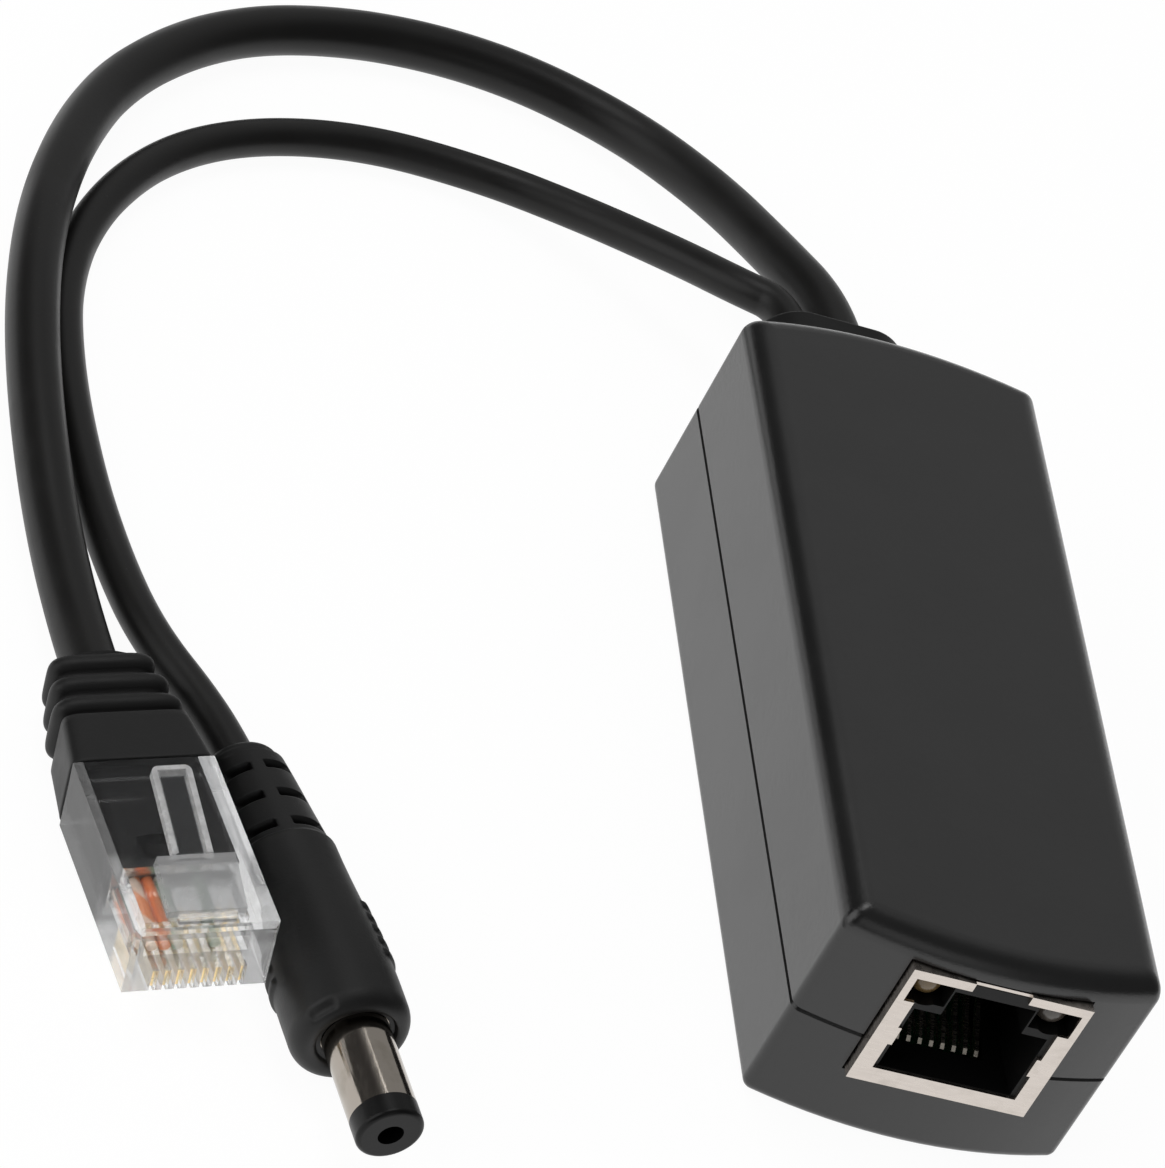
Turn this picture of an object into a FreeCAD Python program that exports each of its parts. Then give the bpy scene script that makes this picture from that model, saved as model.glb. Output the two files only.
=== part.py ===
import FreeCAD, Part
import math
import os

import Sketcher
from FreeCAD import Placement, Rotation, Vector

# Power-over-Ethernet splitter: a moulded case with a shielded modular jack in its front end,
# and a network lead and a low-voltage lead that leave the back end through one strain relief.
# Frame: +X across the case, +Y from the jack to the leads, +Z up. The origin is the centre of
# the case's underside. Lengths are millimetres and angles are degrees.

# Every size that can be set by itself: its name, its value and what it is.
SIZES = [
    ("case_width", 28.4, "case, side to side"),
    ("case_straight", 73.0, "straight run of the case's long sides"),
    ("end_bulge", 2.2, "how far each end face swells past the straight sides"),
    ("case_height", 21.8, "case, floor to top"),
    ("parting_height", 10.2, "joint between the lower and the upper shell"),
    ("wall", 1.7, "case wall"),
    ("corner_round", 1.0, "upright corner edges of the case"),
    ("top_round", 2.2, "edge round the top face"),
    ("bottom_round", 1.0, "edge round the underside"),
    ("parting_bevel", 0.2, "bevel on each shell that makes the hairline joint"),
    ("tongue_height", 1.0, "tongue on the lower shell"),
    ("tongue_width", 0.8, "thickness of the tongue"),
    ("tongue_gap", 0.1, "clearance between the tongue and its rebate"),
    ("boss_radius", 1.7, "pillars that hold the board"),
    ("peg_radius", 0.9, "pegs that locate the board"),
    ("peg_gap", 0.1, "clearance round a peg"),
    ("peg_reach", 1.5, "how far a peg stands above the board"),
    ("boss_side_gap", 0.5, "clearance between a pillar and the side wall"),
    ("boss_jack_gap", 0.3, "clearance between the front pillars and the jack's back"),
    ("boss_back", 27.2, "back pillars, behind the middle"),
    ("board_side_gap", 0.3, "clearance between the board and each side wall"),
    ("board_front", 34.2, "board's front edge, forward of the middle"),
    ("board_back", 31.0, "board's back edge, behind the middle"),
    ("board_thick", 1.2, "circuit board"),
    ("board_under", 3.5, "room under the board, above the case's floor"),
    ("seat_gap", 0.1, "clearance where a piece is seated"),
    ("jack_width", 16.0, "jack shield, side to side"),
    ("jack_height", 13.0, "jack shield, above the board"),
    ("jack_depth", 21.3, "jack shield, front to back"),
    ("jack_proud", 0.3, "how far the jack's front stands out of the case"),
    ("jack_gap", 0.15, "clearance between the jack and the case"),
    ("shield_thick", 0.3, "sheet of the jack shield"),
    ("frame_side", 1.6, "shield's front strip at each side"),
    ("frame_foot", 1.65, "shield's front strip along the bottom"),
    ("frame_thin", 0.65, "shield's front strip beside the lamps"),
    ("frame_head", 0.9, "shield's front strip along the top"),
    ("frame_tab", 0.35, "small tab on each side strip"),
    ("frame_tab_low", 4.5, "foot of that tab above the jack's underside"),
    ("frame_tab_high", 6.5, "head of that tab above the jack's underside"),
    ("lamp_window_foot", 9.5, "foot of the lamp windows above the jack's underside"),
    ("latch_slot_width", 5.0, "gap for the latch in the shield's top strip"),
    ("socket_width", 11.9, "plug's passage in the jack, side to side"),
    ("socket_floor", 1.75, "passage floor above the jack's underside"),
    ("socket_height", 6.9, "passage, floor to ceiling"),
    ("socket_depth", 13.5, "passage, front to back"),
    ("keyway_width", 7.2, "latch's channel above the passage"),
    ("keyway_top", 11.4, "top of that channel above the jack's underside"),
    ("keyway_depth", 11.0, "that channel, front to back"),
    ("contact_pitch", 1.02, "contacts, centre to centre"),
    ("contact_thick", 0.35, "jack contact wire"),
    ("contact_front", 4.1, "front bend of the contacts behind the jack's front"),
    ("contact_back", 10.4, "back end of the contacts' springs"),
    ("contact_tail", 15.4, "contacts' tails behind the jack's front"),
    ("contact_floor", 0.9, "contacts' straight limb above the jack's underside"),
    ("contact_rise", 3.0, "how far the contacts' springs rise"),
    ("contact_bend_deep", 0.77, "inside of the front bend behind the contacts' front"),
    ("contact_bend_high", 0.91, "top of the front bend above the straight limb's underside"),
    ("contact_tail_down", 2.4, "contacts' tails below the jack's underside"),
    ("lamp_radius", 1.45, "indicator lamp"),
    ("lamp_length", 4.4, "indicator lamp, dome included"),
    ("lamp_across", 5.6, "lamps, from the middle to each side"),
    ("lamp_height", 10.75, "lamps above the jack's underside"),
    ("lamp_set_back", 0.8, "dome's front behind the jack's front"),
    ("lamp_gap", 0.1, "clearance round a lamp"),
    ("lamp_pocket_width", 3.7, "lamp's window in the jack's insulator"),
    ("lamp_pocket_height", 2.5, "height of that window"),
    ("lamp_pocket_depth", 2.4, "depth of that window"),
    ("magnetics_width", 9.6, "signal transformer, side to side"),
    ("magnetics_length", 9.4, "signal transformer, front to back"),
    ("magnetics_height", 5.6, "signal transformer"),
    ("magnetics_jack_gap", 1.6, "clearance between the signal transformer and the jack"),
    ("core_width", 11.0, "power transformer's core, side to side"),
    ("core_depth", 6.0, "power transformer's core, front to back"),
    ("core_height", 10.8, "power transformer's core"),
    ("core_leg", 1.6, "outer leg of the core"),
    ("core_middle", 3.2, "middle leg of the core"),
    ("core_yoke", 1.8, "top and bottom of the core"),
    ("core_lift", 0.4, "core above the board"),
    ("core_side_gap", 1.1, "clearance between the power transformer and the side wall"),
    ("core_back", 4.1, "power transformer's middle, behind the case's middle"),
    ("bobbin_wall", 0.6, "bobbin's tube and flanges"),
    ("winding_margin", 0.5, "winding inside the bobbin's edge"),
    ("input_cap_radius", 3.5, "input capacitor"),
    ("input_cap_height", 11.5, "input capacitor"),
    ("input_cap_side_gap", 0.6, "clearance between the input capacitor and the side wall"),
    ("input_cap_back", 2.1, "input capacitor's middle, behind the middle"),
    ("output_cap_radius", 2.9, "output capacitors"),
    ("output_cap_height", 11.0, "output capacitors"),
    ("output_cap_side_gap", 0.6, "clearance between the output capacitors and the side wall"),
    ("output_cap_back", 21.2, "output capacitors' middle, behind the middle"),
    ("output_cap_gap", 0.4, "clearance between the output capacitors"),
    ("choke_width", 6.4, "output choke, each way"),
    ("choke_height", 4.4, "output choke"),
    ("choke_side_gap", 0.6, "clearance between the output choke and the side wall"),
    ("choke_back", 21.0, "output choke's middle, behind the middle"),
    ("chip_lift", 0.1, "moulded chips above the board"),
    ("chip_lead_out", 0.85, "chips' leads, outside the moulding"),
    ("chip_lead_thick", 0.4, "chips' leads"),
    ("bridge_width", 4.0, "bridge rectifier, side to side"),
    ("bridge_depth", 4.6, "bridge rectifier, front to back"),
    ("bridge_height", 2.4, "bridge rectifier"),
    ("bridge_side_gap", 0.6, "clearance between a bridge rectifier and the side wall"),
    ("bridge_boss_gap", 0.35, "clearance between the bridge rectifiers' leads and the pillars"),
    ("controller_width", 3.9, "power controller, side to side"),
    ("controller_depth", 4.9, "power controller, front to back"),
    ("controller_height", 1.5, "power controller"),
    ("controller_side_gap", 0.6, "clearance between the controller's leads and the side wall"),
    ("controller_back", 10.0, "power controller's middle, behind the middle"),
    ("isolator_width", 4.6, "optocoupler, side to side"),
    ("isolator_depth", 6.0, "optocoupler, front to back"),
    ("isolator_height", 3.4, "optocoupler"),
    ("isolator_gap", 0.6, "clearance between the optocoupler and the controller's leads"),
    ("isolator_back", 13.6, "optocoupler's middle, behind the middle"),
    ("diode_width", 5.8, "output diode, side to side"),
    ("diode_depth", 5.6, "output diode, front to back"),
    ("diode_height", 2.3, "output diode"),
    ("diode_side_gap", 0.6, "clearance between the diode's leads and the side wall"),
    ("diode_back", 13.2, "output diode's middle, behind the middle"),
    ("small_width", 1.2, "chip resistors and capacitors, side to side"),
    ("small_side_gap", 0.7, "clearance between a small chip and the side wall"),
    ("small_bridge_gap", 0.35, "clearance between a small chip and a bridge rectifier"),
    ("small_depth", 2.0, "chip resistors and capacitors, front to back"),
    ("resistor_height", 0.5, "chip resistors"),
    ("small_capacitor_height", 0.9, "chip capacitors"),
    ("can_neck", 0.35, "depth of the rolled neck of a capacitor's can"),
    ("can_edge", 0.4, "bevel round the top of a capacitor's can"),
    ("can_roll", 1.3, "foot of the rolled neck above the can's foot"),
    ("can_roll_height", 0.9, "rolled neck, foot to head"),
    ("choke_corner", 1.4, "rounded upright edges of the choke"),
    ("relief_height", 10.2, "leads' middle above the case's underside"),
    ("relief_half_width", 7.7, "collar of the strain relief, half its width"),
    ("relief_half_height", 4.6, "collar of the strain relief, half its height"),
    ("relief_neck_in", 0.7, "neck in the case's wall, inside the collar's outline"),
    ("relief_flange_out", 1.3, "flange inside the case, outside the collar's outline"),
    ("relief_flange_thick", 1.5, "flange inside the case"),
    ("relief_ring", 2.4, "each ring of the collar, along the leads"),
    ("relief_groove", 1.45, "each groove of the collar, along the leads"),
    ("relief_groove_deep", 0.7, "grooves of the collar"),
    ("relief_taper", 0.2, "each ring is this much smaller than the one before"),
    ("relief_edge", 0.5, "rounded end of the collar"),
    ("relief_gap", 0.1, "clearance between the strain relief and the case"),
    ("network_cord_diameter", 4.7, "network lead"),
    ("network_cord_across", 1.75, "network lead's middle at the collar, across"),
    ("dc_cord_diameter", 3.5, "low-voltage lead"),
    ("dc_cord_across", -2.95, "low-voltage lead's middle at the collar, across"),
    ("core_wire_diameter", 1.0, "insulated wires of the network lead"),
    ("dc_wire_diameter", 1.3, "insulated wires of the low-voltage lead"),
    ("wire_bend", 1.6, "bend of the wires down to the board"),
    ("wire_pitch", 1.25, "wires of the network lead, centre to centre"),
    ("wire_landing_near", 27.4, "first row of wires on the board, behind the middle"),
    ("wire_landing_far", 29.6, "second row of wires on the board, behind the middle"),
    ("dc_wire_landing", 28.6, "low-voltage wires on the board, behind the middle"),
    ("dc_wire_across", -3.85, "middle of the low-voltage wires, across"),
    ("dc_wire_pitch", 1.5, "low-voltage wires, centre to centre"),
    ("plug_width", 11.68, "modular plug, side to side"),
    ("plug_length", 19.5, "modular plug's clear body, nose to boot"),
    ("plug_height", 6.6, "modular plug without its latch"),
    ("plug_wall", 1.1, "walls of the plug round its cavity"),
    ("plug_cavity_deep", 11.6, "plug's cavity, from its back"),
    ("plug_channel_height", 1.5, "wire channel ahead of the cavity"),
    ("plug_channel_low", 2.6, "channel's floor above the plug's underside"),
    ("plug_channel_front", 2.6, "channel's front end behind the nose"),
    ("plug_bevel", 0.4, "bevel round the plug's nose"),
    ("channel_side_gap", 0.15, "channel outside the outer wires' places"),
    ("slot_width", 0.5, "contact slots in the plug"),
    ("slot_high", 2.4, "contact slots, up from the plug's underside"),
    ("blade_front", 0.4, "front of the blades behind the nose"),
    ("slot_back", 5.4, "back end of the contact slots behind the nose"),
    ("blade_width", 0.32, "plug contact blades"),
    ("blade_inset", 0.25, "blades above the plug's underside"),
    ("latch_hinge_back", 1.1, "latch's root behind the nose"),
    ("latch_thick", 0.7, "latch strip"),
    ("latch_wide", 6.35, "wide part of the latch"),
    ("latch_wide_length", 5.0, "wide part of the latch, along its slope"),
    ("latch_narrow", 3.3, "finger tab of the latch"),
    ("latch_narrow_length", 8.7, "finger tab of the latch, along its slope"),
    ("latch_end_round", 0.6, "rounded corners of the finger tab"),
    ("latch_step", 0.55, "catch step above the latch strip, at its back"),
    ("latch_step_front", 0.15, "catch step above the latch strip, at its front"),
    ("latch_slope", 13.6, "slope of the relaxed latch over the plug"),
    ("latch_lift", 0.15, "latch strip's underside above the plug at its root"),
    ("latch_root_front", 0.2, "front of the latch's root behind the nose"),
    ("latch_root_lean", 0.2, "how far the root's back leans forward at its top"),
    ("latch_root_width", 4.7, "latch's root, side to side"),
    ("latch_root_gap", 0.15, "gap at the latch's root"),
    ("boot_block", 5.6, "boot's smooth block, front to back"),
    ("boot_proud", 0.1, "boot outside the plug's sides"),
    ("boot_waist", 10.4, "back end of the smooth block, side to side"),
    ("boot_back_width", 7.6, "boot's back end, side to side"),
    ("boot_back_height", 5.8, "boot's back end, height"),
    ("boot_groove", 0.7, "grooves of the boot, along the lead"),
    ("boot_rib_pitch", 2.2, "ribs of the boot, centre to centre"),
    ("boot_groove_deep", 0.6, "grooves of the boot"),
    ("boot_round", 0.8, "long edges of the boot"),
    ("boot_end_round", 0.6, "edge round the boot's back end"),
    ("insert_gap", 0.12, "clearance between the boot's insert and the plug"),
    ("insert_front", 8.0, "insert's front end behind the plug's nose"),
    ("conductor_diameter", 0.95, "insulated wires in the plug"),
    ("plug_nose_x", -62.81, "plug's nose, across"),
    ("plug_nose_y", -42.71, "plug's nose, along"),
    ("plug_nose_z", 3.26, "plug's nose, up"),
    ("plug_yaw", 12.48, "plug's turn about the upright"),
    ("plug_pitch", -9.73, "plug's roll about its own length"),
    ("plug_roll", -5.41, "plug's tilt, nose up"),
    ("barrel_radius", 2.75, "outside of the low-voltage plug's barrel"),
    ("barrel_wall", 0.3, "sheet of the barrel"),
    ("barrel_out", 9.4, "barrel out of its grip, tip ring included"),
    ("barrel_in", 4.0, "barrel inside its grip"),
    ("barrel_collar", 0.35, "collar inside the grip, outside the barrel"),
    ("tip_ring", 2.0, "black ring at the tip"),
    ("tip_round", 0.4, "rounded edge of that ring"),
    ("pin_bore", 1.05, "radius of the bore for the socket's pin"),
    ("pin_bore_deep", 9.0, "depth of that bore"),
    ("centre_tube_wall", 0.35, "wall of the centre contact"),
    ("grip_front_radius", 5.1, "grip over its front part"),
    ("grip_front_share", 10.5, "length of the grip's straight front part"),
    ("grip_back_radius", 4.1, "grip at its back"),
    ("grip_neck", 0.5, "fall from the grip to its tail, along the lead"),
    ("grip_length", 22.6, "grip, front to back"),
    ("grip_shoulder", 1.4, "rounded front edge of the grip"),
    ("grip_recess", 0.7, "recess in the grip's front face"),
    ("grip_recess_radius", 3.6, "radius of that recess"),
    ("rib_first", 6.3, "first finger rib behind the grip's front"),
    ("rib_pitch", 1.3, "finger ribs, centre to centre"),
    ("rib_width", 0.7, "finger ribs, along the grip"),
    ("rib_proud", 0.25, "finger ribs above the grip"),
    ("rib_angle", 50.0, "each finger rib's reach round the grip"),
    ("tail_front_radius", 3.5, "slotted tail beside the grip"),
    ("tail_back_radius", 2.75, "slotted tail before its rounded end"),
    ("tail_round", 0.8, "rounded end of the tail"),
    ("tail_length", 9.2, "slotted tail"),
    ("tail_slot", 0.8, "slots of the tail, along the lead"),
    ("tail_slot_pitch", 2.7, "slots of the tail, centre to centre"),
    ("tail_slot_first", 1.7, "first slot's middle from the tail's front"),
    ("tail_core", 2.0, "radius left inside the slots"),
    ("tail_slot_angle", 44.0, "each slot's reach round the tail"),
    ("tail_slot_turn", 51.0, "slots' middles from the grip's sides, round the tail"),
    ("dc_tip_x", -48.15, "low-voltage plug's tip, across"),
    ("dc_tip_y", -55.27, "low-voltage plug's tip, along"),
    ("dc_floor_gap", 0.05, "grip above the floor"),
    ("dc_yaw", 12.9, "low-voltage plug's turn about the upright"),
    ("dc_turn", -39.0, "low-voltage plug's turn about its own length"),
]

# Small chips beside a side wall: which side of the board, and their middle along it.
WALL_RESISTORS = [(-1, 6.0), (-1, 14.0), (1, 17.3)]
WALL_CAPACITORS = [(1, 8.6)]

# Small chips between the larger parts: their middle across and along.
OPEN_RESISTORS = [(-2.2, 25.5)]
OPEN_CAPACITORS = [(-3.2, 6.2), (0.2, 25.5)]

# Routes of the two leads, from the collar to each plug, as corners of straight runs.
NETWORK_ROUTE = [
    (1.75, 56.3, 10.2),
    (-1.0, 66.0, 7.6),
    (-4.8, 78.0, 4.1),
    (-12.6, 86.9, 2.5),
    (-25.3, 90.3, 2.4),
    (-39.3, 89.6, 2.4),
    (-53.2, 84.6, 2.4),
    (-64.6, 74.0, 2.4),
    (-71.2, 60.0, 2.4),
    (-74.4, 44.0, 2.4),
    (-74.8, 25.0, 2.4),
]
DC_ROUTE = [
    (-2.95, 54.8, 10.2),
    (-5.6, 61.2, 8.4),
    (-11.0, 66.8, 5.6),
    (-18.6, 70.8, 3.1),
    (-28.5, 73.4, 1.85),
    (-40.5, 73.4, 1.85),
    (-52.0, 69.0, 1.85),
    (-60.6, 61.8, 1.85),
    (-66.4, 52.4, 1.85),
    (-69.4, 41.6, 1.85),
    (-69.9, 29.6, 1.85),
    (-68.6, 16.6, 1.95),
    (-65.4, 5.0, 2.7),
]

# Straight run of each lead that points out of its plug.
NETWORK_LAST_RUN = 12.0
DC_LAST_RUN = 9.0

doc = FreeCAD.newDocument("Splitter")


class Size:
    """A sheet formula, with the number that it gives for the sizes as they stand."""

    def __init__(self, formula, value):
        self.formula = formula
        self.value = float(value)

    def __add__(self, other):
        other = as_size(other)
        return Size(f"({self.formula} + {other.formula})", self.value + other.value)

    def __radd__(self, other):
        return as_size(other) + self

    def __sub__(self, other):
        other = as_size(other)
        return Size(f"({self.formula} - {other.formula})", self.value - other.value)

    def __rsub__(self, other):
        return as_size(other) - self

    def __mul__(self, other):
        other = as_size(other)
        return Size(f"({self.formula} * {other.formula})", self.value * other.value)

    def __rmul__(self, other):
        return as_size(other) * self

    def __truediv__(self, other):
        other = as_size(other)
        return Size(f"({self.formula} / {other.formula})", self.value / other.value)

    def __neg__(self):
        return Size(f"(0 - {self.formula})", -self.value)

    def __float__(self):
        return self.value

    def root(self):
        """The square root."""
        return Size(f"sqrt({self.formula})", math.sqrt(self.value))


def as_size(number):
    """A plain number as a size, and a size as it is."""
    return number if isinstance(number, Size) else Size(f"{number:g}", number)


class SizeSheet:
    """The spreadsheet of driving sizes, each also an attribute of this object."""

    def __init__(self, rows):
        self.sheet = doc.addObject("Spreadsheet::Sheet", "Sizes")
        for row, (name, value, meaning) in enumerate(rows, start=1):
            self.sheet.set(f"A{row}", meaning)
            self.sheet.set(f"B{row}", f"{value:g}")
            self.sheet.setAlias(f"B{row}", name)
            setattr(self, name, Size(f"Sizes.{name}", value))
        doc.recompute()


S = SizeSheet(SIZES)


def bind(item, path, size):
    """Set a property or a constraint by a formula of the sheet."""
    item.setExpression(path, as_size(size).formula)


def bind_place(item, x, y, z):
    """Set where an object stands by formulas of the sheet."""
    bind(item, ".Placement.Base.x", x)
    bind(item, ".Placement.Base.y", y)
    bind(item, ".Placement.Base.z", z)


class Moulding:
    """A body of sketches and features, each bound to the sheet."""

    def __init__(self, label):
        self.label = label
        self.body = doc.addObject("PartDesign::Body", label)
        self.body.Label = label

    def origin_feature(self, role):
        """One of the body's own planes or axes."""
        return next(item for item in self.body.Origin.OriginFeatures if item.Role == role)

    def sketch(self, plane, lift=0.0, turn=None):
        """A new sketch on an origin plane, lifted along the plane's normal, or turned about the
        sketch's own second axis."""
        sketch = self.body.newObject("Sketcher::SketchObject", f"{self.label}_sketch")
        sketch.AttachmentSupport = (self.origin_feature(f"{plane}_Plane"), [""])
        sketch.MapMode = "FlatFace"
        if turn is None:
            bind(sketch, ".AttachmentOffset.Base.z", lift)
        else:
            sketch.AttachmentOffset = Placement(Vector(), Rotation(Vector(0, 1, 0), float(turn)))
            bind(sketch, ".AttachmentOffset.Rotation.Angle", turn)
        return sketch

    def polygon(self, sketch, corners, arcs=None):
        """A closed outline through corners in turn, anticlockwise. arcs gives the radius of each
        side that bulges outwards, by the number of the corner where it starts."""
        arcs = arcs or {}
        points = [Vector(float(x), float(y), 0) for x, y in corners]
        first = sketch.GeometryCount
        count = len(corners)
        for i, start in enumerate(points):
            end = points[(i + 1) % count]
            if i in arcs:
                sketch.addGeometry(outward_arc(start, end, float(arcs[i])), False)
            else:
                sketch.addGeometry(Part.LineSegment(start, end), False)
        for i in range(count):
            following = first + (i + 1) % count
            sketch.addConstraint(Sketcher.Constraint("Coincident", first + i, 2, following, 1))
        for i, (x, y) in enumerate(corners):
            pin_point(sketch, first + i, 1, x, y)
        for i, radius in arcs.items():
            constrain(sketch, ("Radius", first + i), radius)

    def rectangle(self, sketch, low_x, high_x, low_y, high_y):
        """A closed rectangle between two pairs of limits."""
        self.polygon(
            sketch,
            [(low_x, low_y), (high_x, low_y), (high_x, high_y), (low_x, high_y)],
        )

    def circle(self, sketch, x, y, radius):
        """A circle by its middle and radius."""
        index = sketch.addGeometry(
            Part.Circle(Vector(float(x), float(y), 0), Vector(0, 0, 1), float(radius)), False
        )
        pin_point(sketch, index, 3, x, y)
        constrain(sketch, ("Radius", index), radius)

    def stadium(self, sketch, half_width, half_height, middle_y):
        """A level oval of two half circles joined by tangent lines, centred across."""
        half, radius, level = float(half_width), float(half_height), float(middle_y)
        reach = half - radius
        up = Vector(0, 0, 1)
        right = Part.Circle(Vector(reach, level, 0), up, radius)
        left = Part.Circle(Vector(-reach, level, 0), up, radius)
        first = sketch.GeometryCount
        foot = [Vector(-reach, level - radius, 0), Vector(reach, level - radius, 0)]
        head = [Vector(reach, level + radius, 0), Vector(-reach, level + radius, 0)]
        sketch.addGeometry(Part.LineSegment(*foot), False)
        sketch.addGeometry(Part.ArcOfCircle(right, -math.pi / 2, math.pi / 2), False)
        sketch.addGeometry(Part.LineSegment(*head), False)
        sketch.addGeometry(Part.ArcOfCircle(left, math.pi / 2, 3 * math.pi / 2), False)
        for i in range(4):
            following = first + (i + 1) % 4
            sketch.addConstraint(Sketcher.Constraint("Tangent", first + i, 2, following, 1))
        pin_point(sketch, first + 1, 3, half_width - half_height, middle_y)
        pin_point(sketch, first + 3, 3, half_height - half_width, middle_y)
        sketch.addConstraint(Sketcher.Constraint("Equal", first + 1, first + 3))
        constrain(sketch, ("Radius", first + 1), half_height)

    def feature(self, kind, sketch, sizes, **settings):
        """A sketch-based feature, with sizes by formula and plain settings."""
        feature = self.body.newObject(f"PartDesign::{kind}", f"{self.label}_{kind.lower()}")
        feature.Profile = sketch
        for name, size in sizes.items():
            bind(feature, name, size)
        for name, setting in settings.items():
            setattr(feature, name, setting)
        doc.recompute()
        return feature

    def pad(self, sketch, length, backwards=False):
        """Material from the sketch along its normal, or against it."""
        return self.feature("Pad", sketch, {"Length": length}, Reversed=backwards)

    def pocket(self, sketch, length, forwards=False):
        """A cut from the sketch against its normal, or along it. The volume has to fall."""
        before = self.body.Shape.Volume
        feature = self.feature("Pocket", sketch, {"Length": length}, Reversed=forwards)
        if self.body.Shape.Volume >= before:
            raise RuntimeError(f"{self.label}: a pocket cuts nothing")
        return feature

    def revolve(self, sketch, axis="Y_Axis", angle=360.0):
        """A turn of the sketch about one of the body's axes, half of it to each side."""
        turning = (self.origin_feature(axis), [""])
        return self.feature(
            "Revolution", sketch, {"Angle": angle}, ReferenceAxis=turning, Midplane=True
        )

    def groove(self, sketch, angle, axis="Y_Axis"):
        """A cut turned about an axis, half of the angle to each side of the sketch."""
        before = self.body.Shape.Volume
        turning = (self.origin_feature(axis), [""])
        feature = self.feature(
            "Groove", sketch, {"Angle": angle}, ReferenceAxis=turning, Midplane=True
        )
        if self.body.Shape.Volume >= before:
            raise RuntimeError(f"{self.label}: a groove cuts nothing")
        return feature

    def edges(self, test):
        """Names of the edges that a test picks."""
        shape = self.body.Tip.Shape
        return [f"Edge{i}" for i, edge in enumerate(shape.Edges, start=1) if test(edge)]

    def round_edges(self, radius, test):
        """A fillet on the edges that a test picks."""
        return self.edge_feature("Fillet", "Radius", radius, test)

    def bevel_edges(self, size, test):
        """A chamfer on the edges that a test picks."""
        return self.edge_feature("Chamfer", "Size", size, test)

    def edge_feature(self, kind, name, size, test):
        """A fillet or chamfer on the edges that a test picks."""
        base = self.body.Tip
        names = self.edges(test)
        if not names:
            raise RuntimeError(f"{self.label}: no edge for a {kind.lower()}")
        feature = self.body.newObject(f"PartDesign::{kind}", f"{self.label}_{kind.lower()}")
        feature.Base = (base, names)
        bind(feature, name, size)
        doc.recompute()
        return feature

    def row(self, feature, axis, pitch, count):
        """A feature repeated along an axis, a pitch apart."""
        pattern = self.body.newObject("PartDesign::LinearPattern", f"{self.label}_row")
        pattern.Originals = [feature]
        pattern.Direction = (self.origin_feature(axis), [""])
        bind(pattern, "Length", pitch * (count - 1))
        pattern.Occurrences = count
        self.body.Tip = pattern
        doc.recompute()
        return pattern


def constrain(sketch, terms, size):
    """A constraint with a size, bound to its formula."""
    kind, *where = terms
    index = sketch.addConstraint(Sketcher.Constraint(kind, *where, float(as_size(size))))
    bind(sketch, f"Constraints[{index}]", size)


def pin_point(sketch, geometry, point, x, y):
    """Fix a point of a sketch at a place from its origin."""
    for kind, size, axis in (("DistanceX", x, -2), ("DistanceY", y, -1)):
        if isinstance(size, Size):
            constrain(sketch, (kind, -1, 1, geometry, point), size)
        elif size == 0:
            sketch.addConstraint(Sketcher.Constraint("PointOnObject", geometry, point, axis))
        else:
            constrain(sketch, (kind, -1, 1, geometry, point), size)


def outward_arc(start, end, radius):
    """The shorter anticlockwise arc of a radius from one point to another."""
    middle = (start + end) * 0.5
    chord = end - start
    left = Vector(-chord.y, chord.x, 0).normalize()
    centre = middle + left * math.sqrt(radius**2 - (chord.Length / 2) ** 2)
    angles = [math.atan2(p.y - centre.y, p.x - centre.x) for p in (start, end)]
    return Part.ArcOfCircle(Part.Circle(centre, Vector(0, 0, 1), radius), *angles)


def block(label, width, depth, height, x, y, z):
    """A box by its size, its middle across and along, and its foot."""
    item = doc.addObject("Part::Box", label)
    bind(item, "Length", width)
    bind(item, "Width", depth)
    bind(item, "Height", height)
    bind_place(item, x - as_size(width) / 2, y - as_size(depth) / 2, z)
    return item


def joined(label, items):
    """Pieces that are one moulding, fused."""
    item = doc.addObject("Part::MultiFuse", label)
    item.Shapes = items
    item.Refine = True
    return item


def without(label, base, tool):
    """A piece less another."""
    item = doc.addObject("Part::Cut", label)
    item.Base = base
    item.Tool = tool
    return item


def together(label, items):
    """Separate like pieces kept as one group."""
    item = doc.addObject("Part::Compound", label)
    item.Links = items
    return item


def tube_path(points):
    """Straight runs through the points, joined by tangent arcs as large as the runs allow.
    Gives the wire and the arcs' radii."""
    points = [Vector(*point) for point in points]
    edges = []
    radii = []
    last = points[0]
    for before, corner, after in zip(points, points[1:], points[2:]):
        towards = (before - corner).normalize()
        onwards = (after - corner).normalize()
        turn = math.pi - towards.getAngle(onwards)
        shorter = min((before - corner).Length, (after - corner).Length)
        cut = 0.45 * shorter
        radius = cut / math.tan(turn / 2)
        start = corner + towards * cut
        end = corner + onwards * cut
        inwards = (towards + onwards).normalize()
        middle = corner + inwards * (radius / math.cos(turn / 2) - radius)
        edges.append(Part.LineSegment(last, start).toShape())
        edges.append(Part.Arc(start, middle, end).toShape())
        radii.append(radius)
        last = end
    edges.append(Part.LineSegment(last, points[-1]).toShape())
    return Part.Wire(edges), radii


def tube(points, diameter):
    """A round solid along straight runs and tangent arcs."""
    path, radii = tube_path(points)
    direction = (Vector(*points[1]) - Vector(*points[0])).normalize()
    ring = Part.Circle(Vector(*points[0]), direction, diameter / 2).toShape()
    solid = path.makePipeShell([Part.Wire([ring])], True, False)
    expected = math.pi * (diameter / 2) ** 2 * path.Length
    if abs(solid.Volume / expected - 1) > 0.01:
        raise RuntimeError("a tube's volume differs from its section times its length")
    return solid, path.Length, radii


def shaped(label, shape):
    """A piece whose shape is worked out here from the sheet's sizes."""
    item = doc.addObject("Part::Feature", label)
    item.Shape = shape
    return item


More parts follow.
